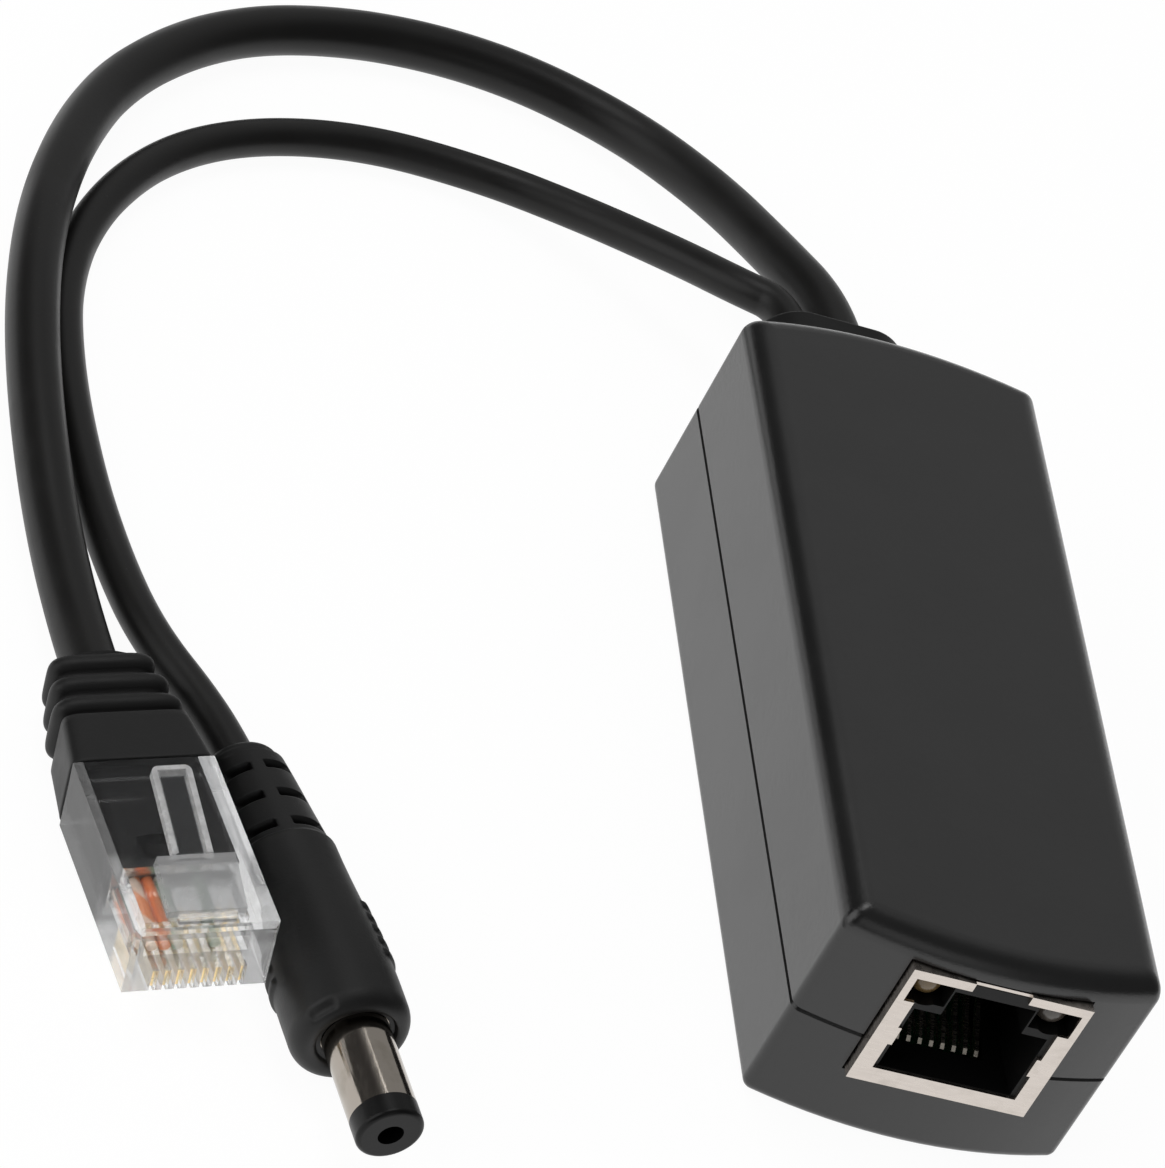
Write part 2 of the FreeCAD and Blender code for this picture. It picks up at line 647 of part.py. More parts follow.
# Places that more than one piece uses.
END_RADIUS = (S.case_width * S.case_width / 4 + S.end_bulge * S.end_bulge) / (2 * S.end_bulge)
END_CENTRE = S.case_straight / 2 + S.end_bulge - END_RADIUS
CASE_HALF = S.case_straight / 2 + S.end_bulge
BOARD_UNDERSIDE = S.wall + S.board_under
BOARD_TOP = BOARD_UNDERSIDE + S.board_thick
CEILING = S.case_height - S.wall
INNER_HALF = S.case_width / 2 - S.wall
JACK_FRONT = -(CASE_HALF + S.jack_proud)
JACK_BACK = JACK_FRONT + S.jack_depth
JACK_HALF = S.jack_width / 2
BOSS_ACROSS = INNER_HALF - S.boss_side_gap - S.boss_radius
BOSS_FRONT = JACK_BACK + S.boss_jack_gap + S.boss_radius
BRIDGE_REACH = S.bridge_depth / 2 + S.chip_lead_out
BRIDGE_ALONG = BOSS_FRONT + S.boss_radius + S.bridge_boss_gap + BRIDGE_REACH
OUTSIDE = 1.0
CONTACTS = 8
BOOT_RIBS = 3
RELIEF_RINGS = 3
WIRES_IN_ROW = 4
TAIL_SLOTS = 3
FINGER_RIBS = 5
# A quarter round drawn through its two ends needs a radius a trace over its size.
ARC_MARGIN = 1.0001


def case_outline(inset):
    """Corners and end arcs of the case's plan, moved in from its outside by an inset."""
    half = S.case_width / 2 - inset
    radius = END_RADIUS - inset
    reach = END_CENTRE + (radius * radius - half * half).root()
    corners = [(-half, -reach), (half, -reach), (half, reach), (-half, reach)]
    return corners, {0: radius, 2: radius}


def rounded_box(half_width, low, high, corner):
    """Corners and arcs of an upright rectangle with rounded corners, centred across."""
    inner = half_width - corner
    corners = [
        (-inner, low),
        (inner, low),
        (half_width, low + corner),
        (half_width, high - corner),
        (inner, high),
        (-inner, high),
        (-half_width, high - corner),
        (-half_width, low + corner),
    ]
    return corners, {start: corner * ARC_MARGIN for start in (1, 3, 5, 7)}


def upright(edge):
    """Whether an edge is straight and upright."""
    box = edge.BoundBox
    return box.XLength < 1e-4 and box.YLength < 1e-4


def level_at(height):
    """A test for edges that lie level at a height."""
    return lambda edge: (
        abs(edge.BoundBox.ZMin - float(height)) < 1e-4
        and abs(edge.BoundBox.ZMax - float(height)) < 1e-4
    )


def shell_walls(shell, inset_to, start, height, upwards):
    """Cut the room inside a shell, from a level, by a height."""
    sketch = shell.sketch("XY", start)
    shell.polygon(sketch, *case_outline(inset_to))
    shell.pocket(sketch, height, forwards=upwards)


def board_pillars(shell, start, height, upwards):
    """Four pillars over or under the board's locating holes."""
    sketch = shell.sketch("XY", start)
    for across in (-BOSS_ACROSS, BOSS_ACROSS):
        for along in (BOSS_FRONT, S.boss_back):
            shell.circle(sketch, across, along, S.boss_radius)
    shell.pad(sketch, height, backwards=not upwards)


def end_openings(shell):
    """Cut the jack's window in the front end and the leads' oval hole in the back end."""
    window = shell.sketch("XZ", CASE_HALF + OUTSIDE)
    shell.rectangle(
        window,
        -(JACK_HALF + S.jack_gap),
        JACK_HALF + S.jack_gap,
        BOARD_TOP - S.jack_gap,
        BOARD_TOP + S.jack_height + S.jack_gap,
    )
    shell.pocket(window, OUTSIDE + S.end_bulge + S.wall + OUTSIDE)
    hole = shell.sketch("XZ", -(CASE_HALF + OUTSIDE))
    shell.stadium(
        hole,
        S.relief_half_width - S.relief_neck_in + S.relief_gap,
        S.relief_half_height - S.relief_neck_in + S.relief_gap,
        S.relief_height,
    )
    shell.pocket(hole, OUTSIDE + S.end_bulge + S.wall + OUTSIDE, forwards=True)


def make_upper_shell():
    """Upper half of the case, with the rebate and the pillars that hold the board down."""
    shell = Moulding("upper_shell")
    plan = shell.sketch("XY", S.parting_height)
    shell.polygon(plan, *case_outline(as_size(0)))
    shell.pad(plan, S.case_height - S.parting_height)
    shell.round_edges(S.corner_round, upright)
    shell.round_edges(S.top_round, level_at(S.case_height))
    shell.bevel_edges(S.parting_bevel, level_at(S.parting_height))
    shell_walls(shell, S.wall, S.parting_height, CEILING - S.parting_height, True)
    rebate = S.wall - S.tongue_width - S.tongue_gap
    shell_walls(shell, rebate, S.parting_height, S.tongue_height + S.tongue_gap, True)
    board_pillars(shell, CEILING, CEILING - BOARD_TOP - S.seat_gap, False)
    holes = shell.sketch("XY", BOARD_TOP + S.seat_gap)
    for across in (-BOSS_ACROSS, BOSS_ACROSS):
        for along in (BOSS_FRONT, S.boss_back):
            shell.circle(holes, across, along, S.peg_radius + S.peg_gap)
    shell.pocket(holes, S.peg_reach + S.seat_gap, forwards=True)
    end_openings(shell)
    return shell.body


def make_lower_shell():
    """Lower half of the case, with its tongue, and the pillars and pegs under the board."""
    shell = Moulding("lower_shell")
    plan = shell.sketch("XY")
    shell.polygon(plan, *case_outline(as_size(0)))
    shell.pad(plan, S.parting_height)
    shell.round_edges(S.corner_round, upright)
    shell.round_edges(S.bottom_round, level_at(0))
    shell.bevel_edges(S.parting_bevel, level_at(S.parting_height))
    shell_walls(shell, S.wall, S.parting_height, S.parting_height - S.wall, False)
    tongue = shell.sketch("XY", S.parting_height)
    shell.polygon(tongue, *case_outline(S.wall - S.tongue_width))
    shell.polygon(tongue, *case_outline(S.wall))
    shell.pad(tongue, S.tongue_height)
    board_pillars(shell, S.wall, S.board_under, True)
    pegs = shell.sketch("XY", BOARD_UNDERSIDE)
    for across in (-BOSS_ACROSS, BOSS_ACROSS):
        for along in (BOSS_FRONT, S.boss_back):
            shell.circle(pegs, across, along, S.peg_radius)
    shell.pad(pegs, S.board_thick + S.peg_reach)
    end_openings(shell)
    return shell.body


def make_circuit_board():
    """The board, with holes for the case's pegs and for the jack's contact tails."""
    board = Moulding("circuit_board")
    plan = board.sketch("XY", BOARD_UNDERSIDE)
    half = INNER_HALF - S.board_side_gap
    board.rectangle(plan, -half, half, -S.board_front, S.board_back)
    for across in (-BOSS_ACROSS, BOSS_ACROSS):
        for along in (BOSS_FRONT, S.boss_back):
            board.circle(plan, across, along, S.peg_radius + S.peg_gap)
    board.pad(plan, S.board_thick)
    tails = board.sketch("XY", BOARD_TOP)
    first = -S.contact_pitch * (CONTACTS - 1) / 2
    reach = S.contact_thick / 2 + S.seat_gap
    tail = JACK_FRONT + S.contact_tail
    board.rectangle(tails, first - reach, first + reach, tail - reach, tail + reach)
    hole = board.pocket(tails, S.board_thick)
    board.row(hole, "X_Axis", S.contact_pitch, CONTACTS)
    return board.body


def make_jack_shield():
    """Tinned sheet round the jack: five sides and a cut-out front frame, open underneath."""
    shield = Moulding("jack_shield")
    plan = shield.sketch("XY", BOARD_TOP)
    shield.rectangle(plan, -JACK_HALF, JACK_HALF, JACK_FRONT, JACK_FRONT + S.jack_depth)
    shield.pad(plan, S.jack_height)
    room = shield.sketch("XY", BOARD_TOP)
    half = JACK_HALF - S.shield_thick
    back = JACK_FRONT + S.jack_depth - S.shield_thick
    shield.rectangle(room, -half, half, JACK_FRONT + S.shield_thick, back)
    shield.pocket(room, S.jack_height - S.shield_thick, forwards=True)
    front = shield.sketch("XZ", OUTSIDE - JACK_FRONT)
    side = JACK_HALF - S.frame_side
    tab = side - S.frame_tab
    lamp = JACK_HALF - S.frame_thin
    slot = S.latch_slot_width / 2
    foot = BOARD_TOP + S.frame_foot
    tab_low = BOARD_TOP + S.frame_tab_low
    tab_high = BOARD_TOP + S.frame_tab_high
    lamp_low = BOARD_TOP + S.lamp_window_foot
    lamp_high = BOARD_TOP + S.jack_height - S.frame_head
    above = BOARD_TOP + S.jack_height + OUTSIDE
    right = [
        (side, foot),
        (side, tab_low),
        (tab, tab_low),
        (tab, tab_high),
        (side, tab_high),
        (side, lamp_low),
        (lamp, lamp_low),
        (lamp, lamp_high),
        (slot, lamp_high),
        (slot, above),
    ]
    left = [(-x, z) for x, z in reversed(right)]
    shield.polygon(front, right + left)
    shield.pocket(front, OUTSIDE + S.shield_thick)
    return shield.body


def make_jack_insulator():
    """Black block inside the shield, with the plug's passage, the latch's channel above it,
    a window for each lamp and a tray for the contacts."""
    block_body = Moulding("jack_insulator")
    plan = block_body.sketch("XY", BOARD_TOP)
    half = JACK_HALF - S.shield_thick - S.seat_gap
    front = JACK_FRONT + S.shield_thick
    back = JACK_FRONT + S.jack_depth - S.shield_thick - S.seat_gap
    block_body.rectangle(plan, -half, half, front, back)
    block_body.pad(plan, S.jack_height - S.shield_thick - S.seat_gap)
    face = OUTSIDE - JACK_FRONT
    floor = BOARD_TOP + S.socket_floor
    passage = block_body.sketch("XZ", face)
    side = S.socket_width / 2
    block_body.rectangle(passage, -side, side, floor, floor + S.socket_height)
    block_body.pocket(passage, OUTSIDE + S.socket_depth)
    channel = block_body.sketch("XZ", face)
    key = S.keyway_width / 2
    top = BOARD_TOP + S.keyway_top
    block_body.rectangle(channel, -key, key, floor + S.socket_height / 2, top)
    block_body.pocket(channel, OUTSIDE + S.keyway_depth)
    lamp_level = BOARD_TOP + S.lamp_height
    for across in (-S.lamp_across, S.lamp_across):
        window = block_body.sketch("XZ", face)
        reach = S.lamp_pocket_width / 2
        rise = S.lamp_pocket_height / 2
        block_body.rectangle(
            window, across - reach, across + reach, lamp_level - rise, lamp_level + rise
        )
        block_body.pocket(window, OUTSIDE + S.lamp_pocket_depth)
        seat = block_body.sketch("XZ", face)
        block_body.circle(seat, across, lamp_level, S.lamp_radius + S.lamp_gap)
        deep = S.lamp_set_back + S.lamp_length + S.seat_gap
        block_body.pocket(seat, OUTSIDE + deep)
    tray = block_body.sketch("XY", BOARD_TOP)
    reach = S.contact_pitch * CONTACTS / 2 + S.seat_gap
    near = JACK_FRONT + S.contact_front - 2 * S.seat_gap - S.contact_thick
    far = JACK_FRONT + S.contact_tail + S.contact_thick + S.seat_gap
    block_body.rectangle(tray, -reach, reach, near, far)
    block_body.pocket(tray, S.socket_floor + S.seat_gap, forwards=True)
    return block_body.body


def make_jack_contacts():
    """Eight bent spring wires: a tail through the board, a straight limb and a rising spring."""
    wires = Moulding("jack_contacts")
    half = S.contact_thick / 2
    first = -S.contact_pitch * (CONTACTS - 1) / 2
    profile = wires.sketch("YZ", first - half)
    low = BOARD_TOP + S.contact_floor
    thick = S.contact_thick
    front = JACK_FRONT + S.contact_front
    tail = JACK_FRONT + S.contact_tail
    back = JACK_FRONT + S.contact_back
    tip = low + S.contact_rise
    corners = [
        (tail - half, BOARD_TOP - S.contact_tail_down),
        (tail + half, BOARD_TOP - S.contact_tail_down),
        (tail + half, low + thick),
        (front + S.contact_bend_deep, low + thick),
        (back, tip),
        (back, tip + thick),
        (front + thick, low + S.contact_bend_high),
        (front, low + S.contact_bend_high - thick),
        (front, low + half),
        (front + half, low),
        (tail - half, low),
    ]
    wires.polygon(profile, corners)
    wire = wires.pad(profile, S.contact_thick)
    wires.row(wire, "X_Axis", S.contact_pitch, CONTACTS)
    return wires.body


def make_jack_lamp(label, across):
    """A round lamp with a domed front, let into the jack's insulator."""
    lamp = Moulding(label)
    half = lamp.sketch("XY")
    radius = S.lamp_radius
    lamp.polygon(
        half,
        [(0, 0), (radius, radius), (radius, S.lamp_length), (0, S.lamp_length)],
        {0: radius * ARC_MARGIN},
    )
    lamp.revolve(half)
    bind_place(
        lamp.body,
        across,
        JACK_FRONT + S.lamp_set_back,
        BOARD_TOP + S.lamp_height,
    )
    return lamp.body


def make_power_transformer():
    """Core, bobbin and winding of the power transformer, standing on the board."""
    foot = BOARD_TOP + S.core_lift
    window_width = (S.core_width - 2 * S.core_leg - S.core_middle) / 2
    window_height = S.core_height - 2 * S.core_yoke
    window_foot = foot + S.core_yoke
    window_across = S.core_middle / 2 + window_width / 2
    across = INNER_HALF - S.core_side_gap - S.core_width / 2
    place = (across, S.core_back)
    core = block("core_block", S.core_width, S.core_depth, S.core_height, *place, foot)
    windows = [
        block(
            f"core_window_{side}",
            window_width,
            S.core_depth + 2 * OUTSIDE,
            window_height,
            across + sign * window_across,
            S.core_back,
            window_foot,
        )
        for side, sign in (("left", -1), ("right", 1))
    ]
    core = without("transformer_core", core, joined("core_windows", windows))

    reach = S.core_width / 2 - S.core_leg - S.seat_gap
    flange_width = 2 * reach
    flange_depth = S.core_depth + 2 * (window_width - S.seat_gap)
    tube_width = S.core_middle + 2 * (S.seat_gap + S.bobbin_wall)
    tube_depth = S.core_depth + 2 * (S.seat_gap + S.bobbin_wall)
    spool_height = window_height - 2 * S.seat_gap
    spool_foot = window_foot + S.seat_gap
    rail_depth = (flange_depth - S.core_depth) / 2 - S.seat_gap
    rail_back = S.core_depth / 2 + S.seat_gap + rail_depth / 2
    rails = [
        block(
            f"bobbin_rail_{name}",
            flange_width,
            rail_depth,
            spool_foot - BOARD_TOP,
            across,
            S.core_back + sign * rail_back,
            BOARD_TOP,
        )
        for name, sign in (("front", -1), ("back", 1))
    ]
    head = spool_foot + spool_height - S.bobbin_wall
    spool = joined(
        "bobbin_spool",
        rails
        + [
            block("bobbin_tube", tube_width, tube_depth, spool_height, *place, spool_foot),
            block("bobbin_foot", flange_width, flange_depth, S.bobbin_wall, *place, spool_foot),
            block("bobbin_head", flange_width, flange_depth, S.bobbin_wall, *place, head),
        ],
    )
    bore = block(
        "bobbin_bore",
        S.core_middle + 2 * S.seat_gap,
        S.core_depth + 2 * S.seat_gap,
        spool_height + 2 * OUTSIDE,
        *place,
        spool_foot - OUTSIDE,
    )
    bobbin = without("transformer_bobbin", spool, bore)

    coil_foot = spool_foot + S.bobbin_wall
    coil_height = spool_height - 2 * S.bobbin_wall
    coil = block(
        "winding_block",
        flange_width - 2 * S.winding_margin,
        flange_depth - 2 * S.winding_margin,
        coil_height,
        *place,
        coil_foot,
    )
    hollow = block(
        "winding_hollow", tube_width, tube_depth, coil_height + 2 * OUTSIDE, *place,
        coil_foot - OUTSIDE,
    )
    winding = without("transformer_winding", coil, hollow)
    return [core, bobbin, winding]


def make_can(label, radius, height, across, along):
    """An electrolytic capacitor: a can with the rolled neck near its foot."""
    can = Moulding(label)
    half = can.sketch("XZ")
    neck = radius - S.can_neck
    low = S.can_roll
    high = S.can_roll + S.can_roll_height
    can.polygon(
        half,
        [
            (0, 0),
            (radius, 0),
            (radius, low),
            (neck, low + S.can_roll_height / 3),
            (neck, high - S.can_roll_height / 3),
            (radius, high),
            (radius, height - S.can_edge),
            (radius - S.can_edge, height),
            (0, height),
        ],
    )
    can.revolve(half, "Z_Axis")
    bind_place(can.body, across, along, BOARD_TOP)
    return can.body


def make_choke():
    """Output choke: a square ferrite cover with rounded upright edges on a base."""
    choke = Moulding("output_choke")
    plan = choke.sketch("XY")
    half = S.choke_width / 2
    choke.rectangle(plan, -half, half, -half, half)
    choke.pad(plan, S.choke_height)
    choke.round_edges(S.choke_corner, upright)
    across = -(INNER_HALF - S.choke_side_gap - half)
    bind_place(choke.body, across, S.choke_back, BOARD_TOP)
    return choke.body


def make_chip(label, width, depth, height, across, along, lead_axis, leads):
    """A moulded chip with flat leads on two opposite sides, standing on the board."""
    pieces = [block(f"{label}_moulding", width, depth, height, across, along, BOARD_TOP + S.chip_lift)]
    to_sides = lead_axis == "x"
    span = (depth if to_sides else width) / leads
    lead_width = span / 2
    reach = (width if to_sides else depth) / 2 + S.chip_lead_out / 2
    for sign, end in ((-1, "near"), (1, "far")):
        for number in range(leads):
            step = (number - (leads - 1) / 2) * span
            if to_sides:
                x, y = across + sign * reach, along + step
                size = (S.chip_lead_out, lead_width)
            else:
                x, y = across + step, along + sign * reach
                size = (lead_width, S.chip_lead_out)
            name = f"{label}_lead_{end}_{number}"
            pieces.append(block(name, *size, S.chip_lead_thick, x, y, BOARD_TOP))
    return joined(label, pieces)


def make_chips():
    """The moulded chips, each by its sizes and its middle on the board."""
    bridge = (S.bridge_width, S.bridge_depth, S.bridge_height)
    bridge_across = INNER_HALF - S.bridge_side_gap - S.bridge_width / 2
    controller_reach = S.controller_width / 2 + S.chip_lead_out
    controller_across = -(INNER_HALF - S.controller_side_gap - controller_reach)
    isolator_across = (
        controller_across + controller_reach + S.isolator_gap + S.isolator_width / 2
    )
    diode_across = INNER_HALF - S.diode_side_gap - S.chip_lead_out - S.diode_width / 2
    return [
        make_chip("bridge_rectifier_left", *bridge, -bridge_across, BRIDGE_ALONG, "y", 2),
        make_chip("bridge_rectifier_right", *bridge, bridge_across, BRIDGE_ALONG, "y", 2),
        make_chip(
            "power_controller",
            S.controller_width,
            S.controller_depth,
            S.controller_height,
            controller_across,
            S.controller_back,
            "x",
            4,
        ),
        make_chip(
            "optocoupler",
            S.isolator_width,
            S.isolator_depth,
            S.isolator_height,
            isolator_across,
            S.isolator_back,
            "y",
            2,
        ),
        make_chip(
            "output_diode",
            S.diode_width,
            S.diode_depth,
            S.diode_height,
            diode_across,
            S.diode_back,
            "x",
            1,
        ),
    ]


def make_small_parts():
    """Chip resistors and capacitors: beside the walls, behind the bridge rectifiers and
    between the larger parts."""
    items = []
    edge = INNER_HALF - S.small_side_gap - S.small_width / 2
    behind = BRIDGE_ALONG + BRIDGE_REACH + S.small_bridge_gap + S.small_depth / 2
    resistors = [(side * edge, along) for side, along in WALL_RESISTORS]
    capacitors = [(side * edge, along) for side, along in WALL_CAPACITORS]
    for label, places, height in (
        ("chip_resistors", resistors + [(edge, behind)] + OPEN_RESISTORS, S.resistor_height),
        (
            "chip_capacitors",
            capacitors + [(-edge, behind)] + OPEN_CAPACITORS,
            S.small_capacitor_height,
        ),
    ):
        chips = [
            block(f"{label}_{number}", S.small_width, S.small_depth, height, x, y, BOARD_TOP)
            for number, (x, y) in enumerate(places, start=1)
        ]
        items.append(together(label, chips))
    return items


def relief_outline(inset):
    """Half width and half height of the strain relief's oval, moved in by an inset."""
    return S.relief_half_width - inset, S.relief_half_height - inset


def relief_back():
    """Where the strain relief's rings start, just outside the case."""
    return CASE_HALF + S.relief_gap


def relief_end():
    """Where the collar ends and the leads come out."""
    return relief_back() + RELIEF_RINGS * S.relief_ring + (RELIEF_RINGS - 1) * S.relief_groove


def flange_wall():
    """Inside of the back end wall, where the corners of the relief's flange come to it."""
    corner = S.relief_half_width + S.relief_flange_out
    inner_radius = END_RADIUS - S.wall
    return END_CENTRE + (inner_radius * inner_radius - corner * corner).root()


def make_strain_relief():
    """One moulding round both leads: a flange inside the case, a neck in the wall and a
    tapered collar of three rings outside."""
    relief = Moulding("cord_strain_relief")
    flange_back = flange_wall() - S.relief_gap
    flange = relief.sketch("XZ", -(flange_back - S.relief_flange_thick))
    relief.stadium(flange, *relief_outline(-S.relief_flange_out), S.relief_height)
    relief.pad(flange, S.relief_flange_thick, backwards=True)
    neck = relief.sketch("XZ", -flange_back)
    relief.stadium(neck, *relief_outline(S.relief_neck_in), S.relief_height)
    relief.pad(neck, relief_back() - flange_back, backwards=True)
    start = relief_back()
    for number in range(RELIEF_RINGS):
        ring = relief.sketch("XZ", -start)
        relief.stadium(ring, *relief_outline(number * S.relief_taper), S.relief_height)
        relief.pad(ring, S.relief_ring, backwards=True)
        start = start + S.relief_ring
        if number < RELIEF_RINGS - 1:
            groove = relief.sketch("XZ", -start)
            inset = number * S.relief_taper + S.relief_groove_deep
            relief.stadium(groove, *relief_outline(inset), S.relief_height)
            relief.pad(groove, S.relief_groove, backwards=True)
            start = start + S.relief_groove
    end = float(relief_end())
    relief.round_edges(S.relief_edge, lambda edge: edge.BoundBox.YMin > end - 1e-4)
    return relief.body


def plug_place():
    """Where the modular plug lies: nose raised on the other plug's grip, boot on the floor."""
    turn = Rotation(float(S.plug_yaw), float(S.plug_pitch), float(S.plug_roll))
    nose = Vector(float(S.plug_nose_x), float(S.plug_nose_y), float(S.plug_nose_z))
    return Placement(nose, turn)


def lay_on_plug(item):
    """Lay a piece of the modular plug where the plug lies."""
    bind_place(item, S.plug_nose_x, S.plug_nose_y, S.plug_nose_z)
    bind(item, ".Placement.Rotation.Yaw", S.plug_yaw)
    bind(item, ".Placement.Rotation.Pitch", S.plug_pitch)
    bind(item, ".Placement.Rotation.Roll", S.plug_roll)
    return item


def dc_place():
    """Where the low-voltage plug lies on the floor."""
    level = S.grip_front_radius + S.dc_floor_gap
    tip = Vector(float(S.dc_tip_x), float(S.dc_tip_y), float(level))
    return Placement(tip, Rotation(float(S.dc_yaw), float(S.dc_turn), 0))


def lay_on_dc_plug(item):
    """Lay a piece of the low-voltage plug where that plug lies."""
    level = S.grip_front_radius + S.dc_floor_gap
    bind_place(item, S.dc_tip_x, S.dc_tip_y, level)
    bind(item, ".Placement.Rotation.Yaw", S.dc_yaw)
    bind(item, ".Placement.Rotation.Pitch", S.dc_turn)
    return item


def cord_ends():
    """The first and last stretch of each lead: out of the collar and into its plug."""
    collar = float(relief_end())
    level = float(S.relief_height)
    network_start = (float(S.network_cord_across), collar, level)
    dc_start = (float(S.dc_cord_across), collar, level)
    lead_level = float(S.plug_height) / 2
    plug_end = float(boot_end())
    network_end = plug_place() * Vector(0, plug_end, lead_level)
    network_last = plug_place() * Vector(0, plug_end + NETWORK_LAST_RUN, lead_level)
    plug_back = float(S.barrel_out + S.grip_length + S.tail_length)
    dc_end = dc_place() * Vector(0, plug_back, 0)
    dc_last = dc_place() * Vector(0, plug_back + DC_LAST_RUN, 0)
    return network_start, [network_last, network_end], dc_start, [dc_last, dc_end]


def make_cords():
    """The two leads, each a plain round tube from the collar to its plug."""
    network_start, network_ends, dc_start, dc_ends = cord_ends()
    cords = []
    for label, start, route, ends, diameter in (
        ("network_cord", network_start, NETWORK_ROUTE, network_ends, S.network_cord_diameter),
        ("dc_cord", dc_start, DC_ROUTE, dc_ends, S.dc_cord_diameter),
    ):
        points = [start] + route + [tuple(point) for point in ends]
        solid, length, radii = tube(points, float(diameter))
        print(f"{label}: length {length:.1f}, radii {[round(radius, 1) for radius in radii]}")
        cords.append(shaped(label, solid))
    return cords


def board_wire(across, level, landing, start, diameter):
    """One insulated wire from the strain relief, level and then down to the board."""
    bend = float(S.wire_bend)
    top = float(BOARD_TOP)
    start_point = Vector(across, start, level)
    turn_start = Vector(across, landing + bend, level)
    turn_end = Vector(across, landing, level - bend)
    swing = bend * (1 - math.sqrt(0.5))
    turn_middle = Vector(across, landing + swing, level - swing)
    foot = Vector(across, landing, top)
    path = Part.Wire(
        [
            Part.LineSegment(start_point, turn_start).toShape(),
            Part.Arc(turn_start, turn_middle, turn_end).toShape(),
            Part.LineSegment(turn_end, foot).toShape(),
        ]
    )
    ring = Part.Circle(start_point, Vector(0, -1, 0), diameter / 2).toShape()
    return path.makePipeShell([Part.Wire([ring])], True, False)


def make_board_wires():
    """Insulated wires of both leads, from the strain relief's flange to the board."""
    start = float(flange_wall() - S.relief_gap - S.relief_flange_thick)
    level = float(S.relief_height)
    rows = []
    pitch = float(S.wire_pitch)
    for rise, landing in ((-0.5, float(S.wire_landing_far)), (0.5, float(S.wire_landing_near))):
        for number in range(WIRES_IN_ROW):
            step = number - (WIRES_IN_ROW - 1) / 2
            across = float(S.network_cord_across) + step * pitch
            wire = board_wire(
                across, level + rise * pitch, landing, start, float(S.core_wire_diameter)
            )
            rows.append(wire)
    dc_rows = []
    for side in (-0.5, 0.5):
        across = float(S.dc_wire_across + side * S.dc_wire_pitch)
        landing = float(S.dc_wire_landing)
        dc_rows.append(board_wire(across, level, landing, start, float(S.dc_wire_diameter)))
    return [
        shaped("network_board_wires", Part.makeCompound(rows)),
        shaped("dc_board_wires", Part.makeCompound(dc_rows)),
    ]


def make_plug_body():
    """Clear modular plug: a block with a cavity, a wire channel, eight contact slots that open
    at the nose, and the latch's root on top."""
    plug = Moulding("plug_body")
    plan = plug.sketch("XY")
    half = S.plug_width / 2
    plug.rectangle(plan, -half, half, 0, S.plug_length)
    plug.pad(plan, S.plug_height)
    plug.bevel_edges(S.plug_bevel, lambda edge: edge.BoundBox.YMax < 1e-4)
    cavity = plug.sketch("XZ", -(S.plug_length + OUTSIDE))
    side = half - S.plug_wall
    plug.rectangle(cavity, -side, side, S.plug_wall, S.plug_height - S.plug_wall)
    plug.pocket(cavity, OUTSIDE + S.plug_cavity_deep, forwards=True)
    channel = plug.sketch("XZ", -(S.plug_length - S.plug_cavity_deep + OUTSIDE))
    reach = S.contact_pitch * CONTACTS / 2 + S.channel_side_gap
    low = S.plug_channel_low
    plug.rectangle(channel, -reach, reach, low, low + S.plug_channel_height)
    ahead = S.plug_length - S.plug_cavity_deep - S.plug_channel_front
    plug.pocket(channel, OUTSIDE + ahead, forwards=True)
    slot = plug.sketch("XY")
    first = -S.contact_pitch * (CONTACTS - 1) / 2
    reach = S.slot_width / 2
    plug.rectangle(slot, first - reach, first + reach, as_size(-OUTSIDE), S.slot_back)
    cut = plug.pocket(slot, S.slot_high, forwards=True)
    plug.row(cut, "X_Axis", S.contact_pitch, CONTACTS)
    root = plug.sketch("YZ", -S.latch_root_width / 2)
    top = S.plug_height
    high = top + S.latch_lift + S.latch_thick
    back = S.latch_hinge_back
    plug.polygon(
        root,
        [
            (S.latch_root_front + S.plug_bevel, top - S.plug_bevel),
            (back, top - S.plug_bevel),
            (back, top + S.latch_lift),
            (back - S.latch_root_lean, high),
            (S.latch_root_front + S.plug_bevel, high - S.plug_bevel),
        ],
    )
    plug.pad(root, S.latch_root_width)
    return lay_on_plug(plug.body)


def make_plug_contacts():
    """Eight gilt blades in the plug's slots."""
    blades = Moulding("plug_contacts")
    first = -S.contact_pitch * (CONTACTS - 1) / 2
    profile = blades.sketch("YZ", first - S.blade_width / 2)
    near = S.blade_front
    far = S.slot_back - S.seat_gap
    high = S.slot_high - S.seat_gap
    inset = S.blade_inset
    blades.polygon(
        profile,
        [(near + inset, inset), (far, inset), (far, high), (near, high), (near, 2 * inset)],
    )
    blade = blades.pad(profile, S.blade_width)
    blades.row(blade, "X_Axis", S.contact_pitch, CONTACTS)
    return lay_on_plug(blades.body)


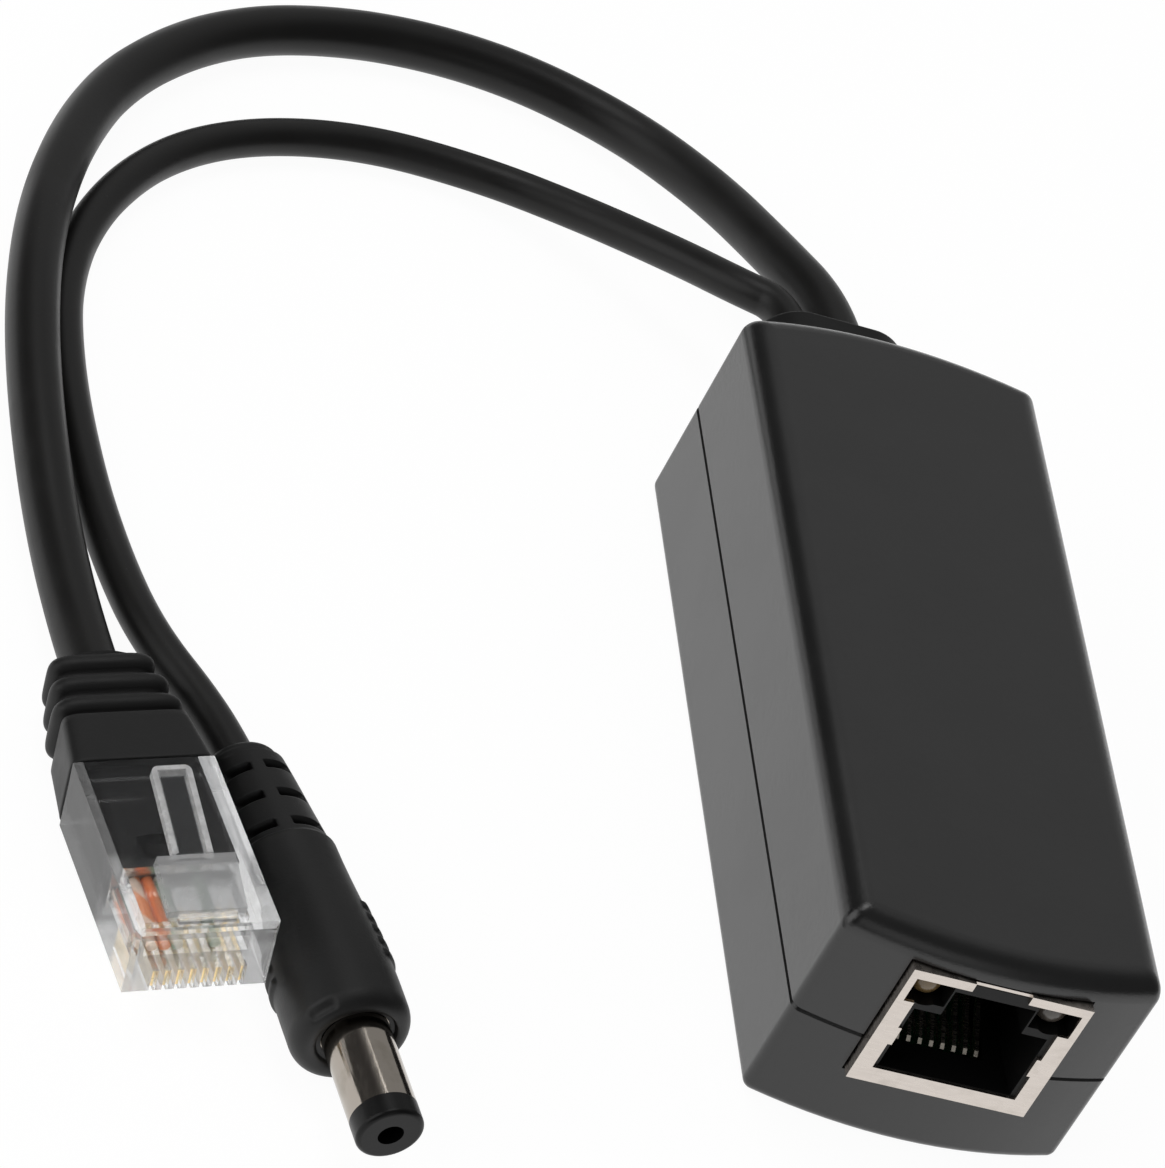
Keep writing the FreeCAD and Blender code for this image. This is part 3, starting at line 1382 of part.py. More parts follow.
def make_plug_latch():
    """Springy latch of the plug: a wide wedge with a catch step at its back, and a narrow
    finger tab."""
    latch = Moulding("plug_latch")
    strip = latch.sketch("XY")
    wide = S.latch_wide / 2
    narrow = S.latch_narrow / 2
    start = S.latch_root_gap
    step = S.latch_wide_length
    end = step + S.latch_narrow_length
    latch.polygon(
        strip,
        [
            (-wide, start),
            (wide, start),
            (wide, step),
            (narrow, step),
            (narrow, end),
            (-narrow, end),
            (-narrow, step),
            (-wide, step),
        ],
    )
    latch.pad(strip, S.latch_thick)
    end_at = float(end)
    latch.round_edges(
        S.latch_end_round, lambda edge: upright(edge) and edge.BoundBox.YMin > end_at - 1e-4
    )
    catch = latch.sketch("YZ", -wide)
    top = S.latch_thick
    latch.polygon(
        catch,
        [
            (start, top / 2),
            (step, top / 2),
            (step, top + S.latch_step),
            (start, top + S.latch_step_front),
        ],
    )
    latch.pad(catch, S.latch_wide)
    local = Placement(
        Vector(0, float(S.latch_hinge_back), float(S.plug_height + S.latch_lift)),
        Rotation(0, 0, float(S.latch_slope)),
    )
    latch.body.Placement = plug_place() * local
    return latch.body


def make_plug_conductors():
    """Insulated wires of the two data pairs, from the insert to over their contacts."""
    names = [
        ("conductor_white_orange", 0),
        ("conductor_orange", 1),
        ("conductor_white_green", 2),
        ("conductor_green", 5),
    ]
    near = S.plug_channel_front + 2 * S.seat_gap
    level = S.plug_channel_low + S.plug_channel_height / 2
    wires = []
    for label, position in names:
        wire = Moulding(label)
        section = wire.sketch("XZ", -near)
        across = S.contact_pitch * (position - (CONTACTS - 1) / 2)
        wire.circle(section, across, level, S.conductor_diameter / 2)
        wire.pad(section, S.insert_front - near, backwards=True)
        wires.append(lay_on_plug(wire.body))
    return wires


def boot_end():
    """Where the boot ends and the network lead enters, behind the plug's nose."""
    return S.plug_length + S.seat_gap + S.boot_block + BOOT_RIBS * S.boot_rib_pitch


def make_plug_boot():
    """Black boot moulded on the plug: a smooth block, then ribs that grow smaller towards the
    lead, and an insert in the plug's cavity."""
    boot = Moulding("plug_boot")
    front = S.plug_length + S.seat_gap
    waist = front + S.boot_block
    half = S.plug_width / 2 + S.boot_proud
    low = -S.boot_proud
    high = S.plug_height + S.boot_proud
    middle = S.boot_waist / 2
    back = S.boot_back_width / 2
    plan = boot.sketch("XY", low)
    boot.polygon(plan, [(-half, front), (half, front), (middle, waist), (-middle, waist)])
    boot.pad(plan, high - low)
    boot.round_edges(S.boot_round, lambda edge: edge.BoundBox.YLength > 3.0)
    fall = (S.plug_height - S.boot_back_height) / 2
    rib = S.boot_rib_pitch - S.boot_groove
    for number in range(BOOT_RIBS):
        share = (number + 1) / BOOT_RIBS
        side = middle - (middle - back) * share
        foot = low + fall * share
        head = high - fall * share
        near = waist + number * S.boot_rib_pitch
        deep = S.boot_groove_deep
        groove = boot.sketch("XZ", -near)
        boot.polygon(
            groove, *rounded_box(side - deep, foot + deep, head - deep, S.boot_round / 2)
        )
        boot.pad(groove, S.boot_groove, backwards=True)
        ring = boot.sketch("XZ", -(near + S.boot_groove))
        boot.polygon(ring, *rounded_box(side, foot, head, S.boot_round))
        boot.pad(ring, rib, backwards=True)
    end_at = float(boot_end())
    boot.round_edges(S.boot_end_round, lambda edge: edge.BoundBox.YMin > end_at - 1e-4)
    insert = boot.sketch("XZ", -S.insert_front)
    side = S.plug_width / 2 - S.plug_wall - S.insert_gap
    foot = S.plug_wall + S.insert_gap
    boot.rectangle(insert, -side, side, foot, S.plug_height - foot)
    boot.pad(insert, front - S.insert_front + S.seat_gap, backwards=True)
    return lay_on_plug(boot.body)


def make_dc_barrel():
    """Nickelled sleeve of the low-voltage plug, with a thicker collar inside the grip."""
    barrel = Moulding("dc_plug_barrel")
    half = barrel.sketch("XY")
    inner = S.barrel_radius - S.barrel_wall
    collar = S.barrel_radius + S.barrel_collar
    start = S.barrel_out + S.grip_recess + S.seat_gap / 2
    end = S.barrel_out + S.barrel_in
    barrel.polygon(
        half,
        [
            (inner, S.tip_ring),
            (S.barrel_radius, S.tip_ring),
            (S.barrel_radius, start),
            (collar, start),
            (collar, end),
            (inner, end),
        ],
    )
    barrel.revolve(half)
    return lay_on_dc_plug(barrel.body)


def make_dc_insulator():
    """Black insulator: the ring at the tip, and the liner inside the sleeve."""
    liner = Moulding("dc_plug_insulator")
    half = liner.sketch("XY")
    outer = S.barrel_radius
    inside = outer - S.barrel_wall - S.seat_gap / 2
    tube_radius = S.pin_bore + S.centre_tube_wall + S.seat_gap / 2
    liner.polygon(
        half,
        [
            (S.pin_bore, 0),
            (outer - S.tip_round, 0),
            (outer, S.tip_round),
            (outer, S.tip_ring),
            (inside, S.tip_ring),
            (inside, S.barrel_out + S.barrel_in),
            (tube_radius, S.barrel_out + S.barrel_in),
            (tube_radius, S.tip_ring),
            (S.pin_bore, S.tip_ring),
        ],
        {1: S.tip_round * ARC_MARGIN},
    )
    liner.revolve(half)
    return lay_on_dc_plug(liner.body)


def make_dc_centre():
    """Centre contact of the low-voltage plug: a tube for the socket's pin."""
    centre = Moulding("dc_plug_centre_contact")
    half = centre.sketch("XY")
    outer = S.pin_bore + S.centre_tube_wall
    end = S.barrel_out + S.barrel_in
    centre.polygon(
        half,
        [
            (S.pin_bore, S.tip_ring),
            (outer, S.tip_ring),
            (outer, end),
            (0, end),
            (0, S.pin_bore_deep),
            (S.pin_bore, S.pin_bore_deep),
        ],
    )
    centre.revolve(half)
    return lay_on_dc_plug(centre.body)


def make_dc_grip():
    """Black grip moulded over the sleeve, with finger ribs on both sides and a slotted tail
    round the lead."""
    grip = Moulding("dc_plug_grip")
    half = grip.sketch("XY")
    front = S.barrel_out
    neck = front + S.grip_length
    end = neck + S.tail_length
    sleeve = S.barrel_radius + S.barrel_collar + S.seat_gap / 2
    inside = front + S.barrel_in + S.seat_gap
    radius = S.grip_front_radius
    grip.polygon(
        half,
        [
            (sleeve, front + S.grip_recess),
            (S.grip_recess_radius, front + S.grip_recess),
            (S.grip_recess_radius, front),
            (radius - S.grip_shoulder, front),
            (radius, front + S.grip_shoulder),
            (radius, front + S.grip_front_share),
            (S.grip_back_radius, neck - S.grip_neck),
            (S.tail_front_radius, neck),
            (S.tail_back_radius, end - S.tail_round),
            (S.tail_back_radius - S.tail_round, end),
            (0, end),
            (0, inside),
            (sleeve, inside),
        ],
        {3: S.grip_shoulder * ARC_MARGIN, 8: S.tail_round * ARC_MARGIN},
    )
    grip.revolve(half)
    for turn in (S.tail_slot_turn, -S.tail_slot_turn, 180 - S.tail_slot_turn, S.tail_slot_turn - 180):
        slots = grip.sketch("XY", turn=turn)
        for number in range(TAIL_SLOTS):
            middle = neck + S.tail_slot_first + number * S.tail_slot_pitch
            low = middle - S.tail_slot / 2
            high = middle + S.tail_slot / 2
            grip.rectangle(slots, S.tail_core, S.tail_front_radius + OUTSIDE, low, high)
        grip.groove(slots, S.tail_slot_angle)
    for sign in (-1, 1):
        ribs = grip.sketch("XY")
        for number in range(FINGER_RIBS):
            middle = front + S.rib_first + number * S.rib_pitch
            low = middle - S.rib_width / 2
            high = middle + S.rib_width / 2
            foot = radius - S.rib_proud
            head = radius + S.rib_proud
            corners = [(foot, low), (head, middle), (foot, high)]
            if sign < 0:
                corners = [(-x, y) for x, y in reversed(corners)]
            grip.polygon(ribs, corners)
        grip.revolve(ribs, angle=S.rib_angle)
    return lay_on_dc_plug(grip.body)


def make_all():
    """Every piece of the splitter, in the order in which it goes together."""
    pieces = [make_lower_shell(), make_circuit_board()]
    pieces += [make_jack_shield(), make_jack_insulator(), make_jack_contacts()]
    pieces.append(make_jack_lamp("jack_lamp_left", -S.lamp_across))
    pieces.append(make_jack_lamp("jack_lamp_right", S.lamp_across))
    pieces.append(
        block(
            "signal_transformer",
            S.magnetics_width,
            S.magnetics_length,
            S.magnetics_height,
            as_size(0),
            JACK_BACK + S.magnetics_jack_gap + S.magnetics_length / 2,
            BOARD_TOP,
        )
    )
    pieces += make_power_transformer()
    pieces.append(
        make_can(
            "input_capacitor",
            S.input_cap_radius,
            S.input_cap_height,
            -(INNER_HALF - S.input_cap_side_gap - S.input_cap_radius),
            S.input_cap_back,
        )
    )
    right = INNER_HALF - S.output_cap_side_gap - S.output_cap_radius
    left = right - 2 * S.output_cap_radius - S.output_cap_gap
    for name, across in (("output_capacitor_left", left), ("output_capacitor_right", right)):
        pieces.append(
            make_can(name, S.output_cap_radius, S.output_cap_height, across, S.output_cap_back)
        )
    pieces.append(make_choke())
    pieces += make_chips()
    pieces += make_small_parts()
    pieces.append(make_upper_shell())
    pieces.append(make_strain_relief())
    pieces += make_board_wires()
    pieces += make_cords()
    pieces += [make_plug_boot(), make_plug_body(), make_plug_contacts(), make_plug_latch()]
    pieces += make_plug_conductors()
    pieces += [make_dc_grip(), make_dc_barrel(), make_dc_insulator(), make_dc_centre()]
    return pieces


def check(pieces):
    """Stop if any object of the document failed, or a piece has no valid solid."""
    for item in doc.Objects:
        if "Invalid" in item.State or "Error" in item.State:
            raise RuntimeError(f"{item.Label} failed: {item.State}")
    for piece in pieces:
        shape = piece.Shape
        if shape.isNull() or not shape.isValid() or not shape.Solids:
            raise RuntimeError(f"{piece.Label} has no valid solid")


def write(pieces):
    """Write each piece's shape to a file with its name."""
    os.makedirs("parts", exist_ok=True)
    for piece in pieces:
        piece.Shape.exportStep(os.path.join("parts", f"{piece.Label}.step"))


PIECES = make_all()
doc.recompute()
check(PIECES)
write(PIECES)
print(f"{len(PIECES)} pieces written")
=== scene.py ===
"""Looks of a power-over-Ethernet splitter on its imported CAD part.

The case, its jack, the board and the plugs' hard pieces keep their CAD meshes and get finishes
here. The two leads, the boot and the barrel plug's grip are replaced by finer pieces that stand
where the CAD pieces stand. Everything is in metres in the part's own frame: +X across the case,
+Y from the jack to the leads, +Z up, with the origin at the middle of the case's underside.
"""

import logging
import math
from dataclasses import dataclass, field
from enum import Enum

import bpy
import numpy as np
from mathutils import Matrix, Vector


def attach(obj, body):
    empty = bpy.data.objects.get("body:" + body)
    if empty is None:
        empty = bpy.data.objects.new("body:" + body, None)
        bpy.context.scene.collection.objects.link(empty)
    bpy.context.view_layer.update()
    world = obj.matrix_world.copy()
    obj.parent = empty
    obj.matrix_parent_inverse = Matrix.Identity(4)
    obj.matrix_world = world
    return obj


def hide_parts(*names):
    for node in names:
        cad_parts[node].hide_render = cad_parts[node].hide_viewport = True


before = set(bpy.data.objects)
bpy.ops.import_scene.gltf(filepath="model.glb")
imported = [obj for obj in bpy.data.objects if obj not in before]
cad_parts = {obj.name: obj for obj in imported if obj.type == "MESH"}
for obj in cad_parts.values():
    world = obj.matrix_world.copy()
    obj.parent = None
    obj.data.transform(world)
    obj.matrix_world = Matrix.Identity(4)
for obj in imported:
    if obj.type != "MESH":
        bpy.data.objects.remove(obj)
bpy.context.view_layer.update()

LOG = logging.getLogger("splitter")
MM = 0.001
BODY = "splitter"
Colour = tuple[float, float, float, float]
Point = tuple[float, float, float]
Span = tuple[float, float]


def grey(level: float, warmth: float = 0.0) -> Colour:
    """A linear grey, a little redder and less blue with warmth."""
    return (level * (1 + warmth), level, level * (1 - warmth), 1.0)


def eased(value: np.ndarray) -> np.ndarray:
    """Rises smoothly from 0 to 1 as the value does: 3 v^2 - 2 v^3, held at both ends."""
    held = np.clip(value, 0.0, 1.0)
    return held * held * (3.0 - 2.0 * held)


@dataclass(frozen=True)
class Seat:
    """Where a plug lies: its front, in millimetres, and its turns in degrees.

    Attributes:
        front: the plug's front end on its axis.
        yaw: turn about the upright.
        spin: turn about the plug's own length.
        tilt: turn about the plug's own width, nose up when negative.
    """

    front: Point
    yaw: float
    spin: float
    tilt: float

    def matrix(self) -> Matrix:
        """Works out the plug's place in metres, as front + Rz(yaw) Ry(spin) Rx(tilt) p.

        Returns:
            The matrix from the plug's own axes to the part's frame.
        """
        turn = Matrix.Rotation(math.radians(self.yaw), 4, "Z")
        turn = turn @ Matrix.Rotation(math.radians(self.spin), 4, "Y")
        turn = turn @ Matrix.Rotation(math.radians(self.tilt), 4, "X")
        return Matrix.Translation(Vector(self.front) * MM) @ turn

    def place(self, points: np.ndarray) -> np.ndarray:
        """Moves points from the plug's own axes to the part's frame.

        Args:
            points: points in millimetres along the plug's own axes, three in the last axis.

        Returns:
            The points in metres, in the part's frame.
        """
        whole = np.array(self.matrix())
        return points * MM @ whole[:3, :3].T + whole[:3, 3]


MODULAR_SEAT = Seat((-62.81, -42.71, 3.26), 12.48, -9.73, -5.41)
BARREL_SEAT = Seat((-48.15, -55.27, 5.15), 12.9, -39.0, 0.0)


class Graph:
    """A material's or group's node tree, with short calls for its nodes and links."""

    def __init__(self, tree: bpy.types.NodeTree) -> None:
        """Keeps the tree that the nodes go into."""
        self.tree = tree

    def node(self, kind: str, **settings: object) -> bpy.types.Node:
        """Adds a node.

        Args:
            kind: the node's Blender type.
            settings: its properties, such as operation="MULTIPLY".

        Returns:
            The new node.
        """
        made = self.tree.nodes.new(kind)
        for name, value in settings.items():
            setattr(made, name, value)
        return made

    def feed(self, socket: bpy.types.NodeSocket, value: object) -> None:
        """Links a socket to an output, or sets its own value.

        Args:
            socket: the input to fill.
            value: an output to link, or a value.

        Returns:
            Nothing.
        """
        if isinstance(value, bpy.types.NodeSocket):
            self.tree.links.new(value, socket)
        else:
            socket.default_value = value

    def maths(self, operation: str, first: object, second: object = 0.0) -> bpy.types.NodeSocket:
        """Adds a Math node.

        Args:
            operation: what it does, such as "ADD".
            first: an output to link, or a value.
            second: an output to link, or a value.

        Returns:
            The node's output.
        """
        made = self.node("ShaderNodeMath", operation=operation)
        self.feed(made.inputs[0], first)
        self.feed(made.inputs[1], second)
        return made.outputs[0]

    def ramp(
        self, value: object, low: float, high: float, to_low: float = 0.0, to_high: float = 1.0
    ) -> bpy.types.NodeSocket:
        """Maps one range to another as a smooth step.

        Args:
            value: an output to link, or a value.
            low: the value that gives to_low.
            high: the value that gives to_high.
            to_low: the result at low and before it.
            to_high: the result at high and past it.

        Returns:
            The node's output.
        """
        made = self.node("ShaderNodeMapRange", interpolation_type="SMOOTHSTEP")
        for socket, entry in zip(made.inputs, (value, low, high, to_low, to_high)):
            self.feed(socket, entry)
        return made.outputs[0]

    def mix(self, share: object, first: object, second: object) -> bpy.types.NodeSocket:
        """Mixes two colours.

        Args:
            share: how much of the second colour there is.
            first: an output to link, or a colour.
            second: an output to link, or a colour.

        Returns:
            The mixed colour's output.
        """
        made = self.node("ShaderNodeMix", data_type="RGBA")
        self.feed(made.inputs["Factor"], share)
        self.feed(made.inputs[6], first)
        self.feed(made.inputs[7], second)
        return made.outputs[2]

    def noise(
        self, where: object, scale: object, detail: float = 3.0, rough: float = 0.55
    ) -> bpy.types.NodeSocket:
        """Adds a Noise texture.

        Args:
            where: the coordinates.
            scale: cells per metre.
            detail: how many finer layers are added.
            rough: how strong the finer layers are.

        Returns:
            The noise's value.
        """
        made = self.node("ShaderNodeTexNoise")
        self.feed(made.inputs["Vector"], where)
        self.feed(made.inputs["Scale"], scale)
        self.feed(made.inputs["Detail"], detail)
        self.feed(made.inputs["Roughness"], rough)
        return made.outputs["Fac"]

    def stretched(self, where: object, scales: Point) -> bpy.types.NodeSocket:
        """Scales coordinates by a factor for each axis.

        Args:
            where: the coordinates.
            scales: the three factors.

        Returns:
            The scaled coordinates.
        """
        made = self.node("ShaderNodeMapping")
        self.feed(made.inputs["Vector"], where)
        self.feed(made.inputs["Scale"], scales)
        return made.outputs[0]

    def bump(self, shader: bpy.types.Node, distance: float, height: bpy.types.NodeSocket) -> None:
        """Raises a shader's surface by a height.

        Args:
            shader: the shader.
            distance: the depth of a height of 1, in metres.
            height: the output that gives the height.

        Returns:
            Nothing.
        """
        made = self.node("ShaderNodeBump")
        self.feed(made.inputs["Strength"], 1.0)
        self.feed(made.inputs["Distance"], distance)
        self.feed(made.inputs["Height"], height)
        self.feed(shader.inputs["Normal"], made.outputs["Normal"])

    def object_place(self) -> bpy.types.NodeSocket:
        """The point's place in the piece's own coordinates."""
        return self.node("ShaderNodeTexCoord").outputs["Object"]

    def in_plug(self, seat: Seat) -> bpy.types.Node:
        """Turns the point's place to a plug's own axes.

        Args:
            seat: where the plug lies.

        Returns:
            A node whose outputs X, Y and Z are metres across, behind and above the plug's front.
        """
        back = seat.matrix().inverted()
        own = self.node("ShaderNodeMapping")
        self.feed(own.inputs["Vector"], self.object_place())
        self.feed(own.inputs["Location"], tuple(back.to_translation()))
        self.feed(own.inputs["Rotation"], tuple(back.to_euler()))
        parts = self.node("ShaderNodeSeparateXYZ")
        self.feed(parts.inputs["Vector"], own.outputs["Vector"])
        return parts

    def ray_is(self, *kinds: str) -> bpy.types.NodeSocket:
        """Marks the rays of some kinds.

        Args:
            kinds: outputs of the Light Path node.

        Returns:
            An output that is 1 for a ray of one of the kinds and 0 for any other.
        """
        rays = self.node("ShaderNodeLightPath")
        marked = rays.outputs[kinds[0]]
        for kind in kinds[1:]:
            marked = self.maths("MAXIMUM", marked, rays.outputs[kind])
        return marked


def new_group(
    name: str, inputs: dict[str, str], outputs: dict[str, str]
) -> tuple[Graph, bpy.types.Node, bpy.types.Node]:
    """Makes an empty shader node group.

    Args:
        name: the group's name.
        inputs: socket names and their types.
        outputs: socket names and their types.

    Returns:
        The group's tree as a Graph, its input node and its output node.
    """
    tree = bpy.data.node_groups.new(name, "ShaderNodeTree")
    for direction, sockets in (("INPUT", inputs), ("OUTPUT", outputs)):
        for label, kind in sockets.items():
            tree.interface.new_socket(label, in_out=direction, socket_type=kind)
    graph = Graph(tree)
    return graph, graph.node("NodeGroupInput"), graph.node("NodeGroupOutput")


def moulded_grain_group(
    under_scale: float = 0.35, under_share: float = 0.6, smears: Span = (0.35, 0.7)
) -> bpy.types.NodeTree:
    """Makes the spark-eroded grain of moulded plastic, with faint smears from handling.

    Height is fine noise with a coarser one under it, and Smear is broad noise that the roughness
    follows.

    Args:
        under_scale: the coarser noise's scale against the fine one's.
        under_share: the coarser noise's share of the height.
        smears: values of the broad noise where a smear starts and is whole.

    Returns:
        The group's tree.
    """
    graph, given, out = new_group(
        "moulded_grain",
        {"Place": "NodeSocketVector", "Grain Scale": "NodeSocketFloat", "Smear Scale": "NodeSocketFloat"},
        {"Height": "NodeSocketFloat", "Smear": "NodeSocketFloat"},
    )
    place = given.outputs["Place"]
    grain_scale = given.outputs["Grain Scale"]
    fine = graph.noise(place, grain_scale, detail=4.0, rough=0.7)
    coarse = graph.noise(place, graph.maths("MULTIPLY", grain_scale, under_scale), detail=2.0)
    height = graph.maths("ADD", fine, graph.maths("MULTIPLY", coarse, under_share))
    smear = graph.noise(place, given.outputs["Smear Scale"], detail=5.0, rough=0.6)
    graph.feed(out.inputs["Height"], height)
    graph.feed(out.inputs["Smear"], graph.ramp(smear, *smears))
    return graph.tree


def dust_group(
    speck: Span = (0.03, 0.12), patch_scale: float = 0.04, patches: Span = (0.55, 0.7)
) -> bpy.types.NodeTree:
    """Makes sparse pale specks of settled dust.

    Specks is where the distance to scattered points is small, kept to broad patches.

    Args:
        speck: distances at which a speck is whole and at which it ends, in cells.
        patch_scale: the patches' scale against the specks'.
        patches: values of the broad noise where a patch starts and is whole.

    Returns:
        The group's tree.
    """
    graph, given, out = new_group(
        "settled_dust",
        {"Place": "NodeSocketVector", "Speck Scale": "NodeSocketFloat", "Amount": "NodeSocketFloat"},
        {"Specks": "NodeSocketFloat"},
    )
    place = given.outputs["Place"]
    speck_scale = given.outputs["Speck Scale"]
    cells = graph.node("ShaderNodeTexVoronoi")
    graph.feed(cells.inputs["Vector"], place)
    graph.feed(cells.inputs["Scale"], speck_scale)
    near = graph.ramp(cells.outputs["Distance"], *speck, 1.0, 0.0)
    broad = graph.noise(place, graph.maths("MULTIPLY", speck_scale, patch_scale), detail=2.0)
    specks = graph.maths("MULTIPLY", near, graph.ramp(broad, *patches))
    graph.feed(out.inputs["Specks"], graph.maths("MULTIPLY", specks, given.outputs["Amount"]))
    return graph.tree


GROUPS = {tree.name: tree for tree in (moulded_grain_group(), dust_group())}


@dataclass(frozen=True)
class Finish:
    """A finish: its material's name, base colour and plain shader values.

    Attributes:
        name: the material's name.
        colour: the linear base colour.
        roughness: the mean roughness.
        values: other values set on the shader's own sockets.
    """

    name: str
    colour: Colour
    roughness: float
    values: dict[str, object] = field(default_factory=dict)

    def start(self) -> tuple[bpy.types.Material, Graph, bpy.types.Node]:
        """Makes the material with its shader and plain values.

        Returns:
            The material, its graph and its Principled shader.
        """
        material = bpy.data.materials.new(self.name)
        material.use_nodes = True
        material.node_tree.nodes.clear()
        graph = Graph(material.node_tree)
        shader = graph.node("ShaderNodeBsdfPrincipled")
        out = graph.node("ShaderNodeOutputMaterial")
        graph.feed(out.inputs["Surface"], shader.outputs["BSDF"])
        graph.feed(shader.inputs["Base Color"], self.colour)
        graph.feed(shader.inputs["Roughness"], self.roughness)
        for name, value in self.values.items():
            graph.feed(shader.inputs[name], value)
        return material, graph, shader


@dataclass(frozen=True)
class MouldedPlastic(Finish):
    """Moulded plastic or rubber with a spark-eroded grain, smears and a little dust.

    Attributes:
        grain_scale: grain cells per metre.
        bump: depth of the grain, in metres.
        dust: share of pale specks.
        patchy: how far the roughness follows the smears.
        smear_scale: smears per metre.
        speck_scale: cells of dust per metre.
        worn: how many times paler a smear is.
        dusted: how many times paler a speck is.
        lift: what a speck adds to the colour besides.
    """

    grain_scale: float = 5200.0
    bump: float = 0.00002
    dust: float = 0.3
    patchy: float = 0.08
    smear_scale: float = 90.0
    speck_scale: float = 900.0
    worn: float = 1.25
    dusted: float = 3.0
    lift: float = 0.05

    def paler(self, factor: float, lift: float = 0.0) -> Colour:
        """The base colour times a factor and plus a lift, at most white."""
        return tuple(min(1.0, channel * factor + lift) for channel in self.colour[:3]) + (1.0,)

    def build(self) -> bpy.types.Material:
        """Makes the material with its grain, smears and dust.

        Returns:
            The material.
        """
        material, graph, shader = self.start()
        place = graph.object_place()
        grain = graph.node("ShaderNodeGroup", node_tree=GROUPS["moulded_grain"])
        graph.feed(grain.inputs["Place"], place)
        graph.feed(grain.inputs["Grain Scale"], self.grain_scale)
        graph.feed(grain.inputs["Smear Scale"], self.smear_scale)
        smear = grain.outputs["Smear"]
        dust = graph.node("ShaderNodeGroup", node_tree=GROUPS["settled_dust"])
        graph.feed(dust.inputs["Place"], place)
        graph.feed(dust.inputs["Speck Scale"], self.speck_scale)
        graph.feed(dust.inputs["Amount"], self.dust)
        base = graph.mix(smear, self.colour, self.paler(self.worn))
        base = graph.mix(dust.outputs["Specks"], base, self.paler(self.dusted, self.lift))
        graph.feed(shader.inputs["Base Color"], base)
        low = self.roughness - self.patchy / 2
        high = self.roughness + self.patchy / 2
        graph.feed(shader.inputs["Roughness"], graph.ramp(smear, 0.0, 1.0, low, high))
        graph.bump(shader, self.bump, grain.outputs["Height"])
        return material


@dataclass(frozen=True)
class PlatedMetal(Finish):
    """Plated sheet or turned metal with fine marks along one axis and a few dull patches.

    Attributes:
        marks: scale of the marks along each axis, per metre.
        bump: depth of the marks, in metres.
        dull: colour of the dull patches.
        patch_scale: dull patches per metre.
        patch_share: how far a patch takes the dull colour.
        spread: the least and the greatest roughness, as factors of the mean.
    """

    marks: Point = (400.0, 6000.0, 6000.0)
    bump: float = 0.000004
    dull: Colour = (0.32, 0.29, 0.24, 1.0)
    patch_scale: float = 500.0
    patch_share: float = 0.55
    spread: Span = (0.75, 1.3)

    def build(self) -> bpy.types.Material:
        """Makes the material with its marks and patches.

        Returns:
            The material.
        """
        material, graph, shader = self.start()
        place = graph.object_place()
        marks = graph.noise(graph.stretched(place, self.marks), 1.0)
        broad = graph.noise(place, self.patch_scale, detail=4.0)
        patches = graph.ramp(broad, 0.5, 0.75, 0.0, self.patch_share)
        graph.feed(shader.inputs["Base Color"], graph.mix(patches, self.colour, self.dull))
        low, high = (self.roughness * factor for factor in self.spread)
        graph.feed(shader.inputs["Roughness"], graph.ramp(marks, 0.3, 0.7, low, high))
        graph.bump(shader, self.bump, marks)
        return material


@dataclass(frozen=True)
class ClearPlastic(Finish):
    """Clear moulded polycarbonate with faint flow marks and painted shade over the black rubber insert.

    Attributes:
        bump: depth of the flow marks, in metres.
        flow: scale of the flow marks along each axis, per metre.
        haze: patches of haze per metre.
        seat: where the plug lies.
        painted_insert_shade: painted shade over the boot's insert.
        rail: painted shade of the wall on the plug's right, lighter than over the insert.
        shaded: painted shade of the wall on its left, darker than over the insert.
        fill_front: where the insert starts behind the nose, in metres.
        rail_inside: the walls' inside, from the middle to each side, in metres.
        nose_alpha: how solid the nose looks, where walls and grooves lie close together.
        back_alpha: how solid the rest looks.
    """

    bump: float = 0.00003
    flow: Point = (250.0, 120.0, 250.0)
    haze: float = 700.0
    seat: Seat = MODULAR_SEAT
    painted_insert_shade: Colour = (0.26, 0.265, 0.27, 1.0)
    rail: Colour = (0.86, 0.865, 0.87, 1.0)
    shaded: Colour = (0.10, 0.10, 0.10, 1.0)
    fill_front: float = 0.008
    rail_inside: float = 0.0046
    nose_alpha: float = 0.66
    back_alpha: float = 0.92

    def tint(self, graph: Graph) -> tuple[bpy.types.NodeSocket, bpy.types.NodeSocket]:
        """Paints shade on the plastic by its place in the plug.

        Args:
            graph: the material's nodes.

        Returns:
            How far the point is behind the insert's front, from 0 to 1, and its colour with the painted
            shade.
        """
        parts = graph.in_plug(self.seat)
        aside = parts.outputs["X"]
        inside = self.rail_inside
        behind = graph.ramp(parts.outputs["Y"], self.fill_front - 0.0008, self.fill_front + 0.0012)
        # Painted shade: dark over the insert, lighter on the right wall, darkest on the left wall.
        right = graph.mix(graph.ramp(aside, inside, inside + 0.0006), self.painted_insert_shade, self.rail)
        off_left = graph.ramp(aside, -inside - 0.0004, -inside + 0.0008)
        tint = graph.mix(off_left, self.shaded, right)
        return behind, graph.mix(behind, self.colour, tint)

    def build(self) -> bpy.types.Material:
        """Makes the material with its painted shade, haze and flow marks.

        Returns:
            The material.
        """
        material, graph, shader = self.start()
        place = graph.object_place()
        behind, tint = self.tint(graph)
        # The base colour carries the painted shade.
        graph.feed(shader.inputs["Base Color"], tint)
        alpha = graph.ramp(behind, 0.0, 1.0, self.nose_alpha, self.back_alpha)
        graph.feed(shader.inputs["Alpha"], alpha)
        haze = graph.noise(place, self.haze)
        rough = graph.ramp(haze, 0.3, 0.75, self.roughness, self.roughness * 2.2)
        graph.feed(shader.inputs["Roughness"], rough)
        flow = graph.noise(graph.stretched(place, self.flow), 1.0, detail=2.0)
        graph.bump(shader, self.bump, flow)
        return material


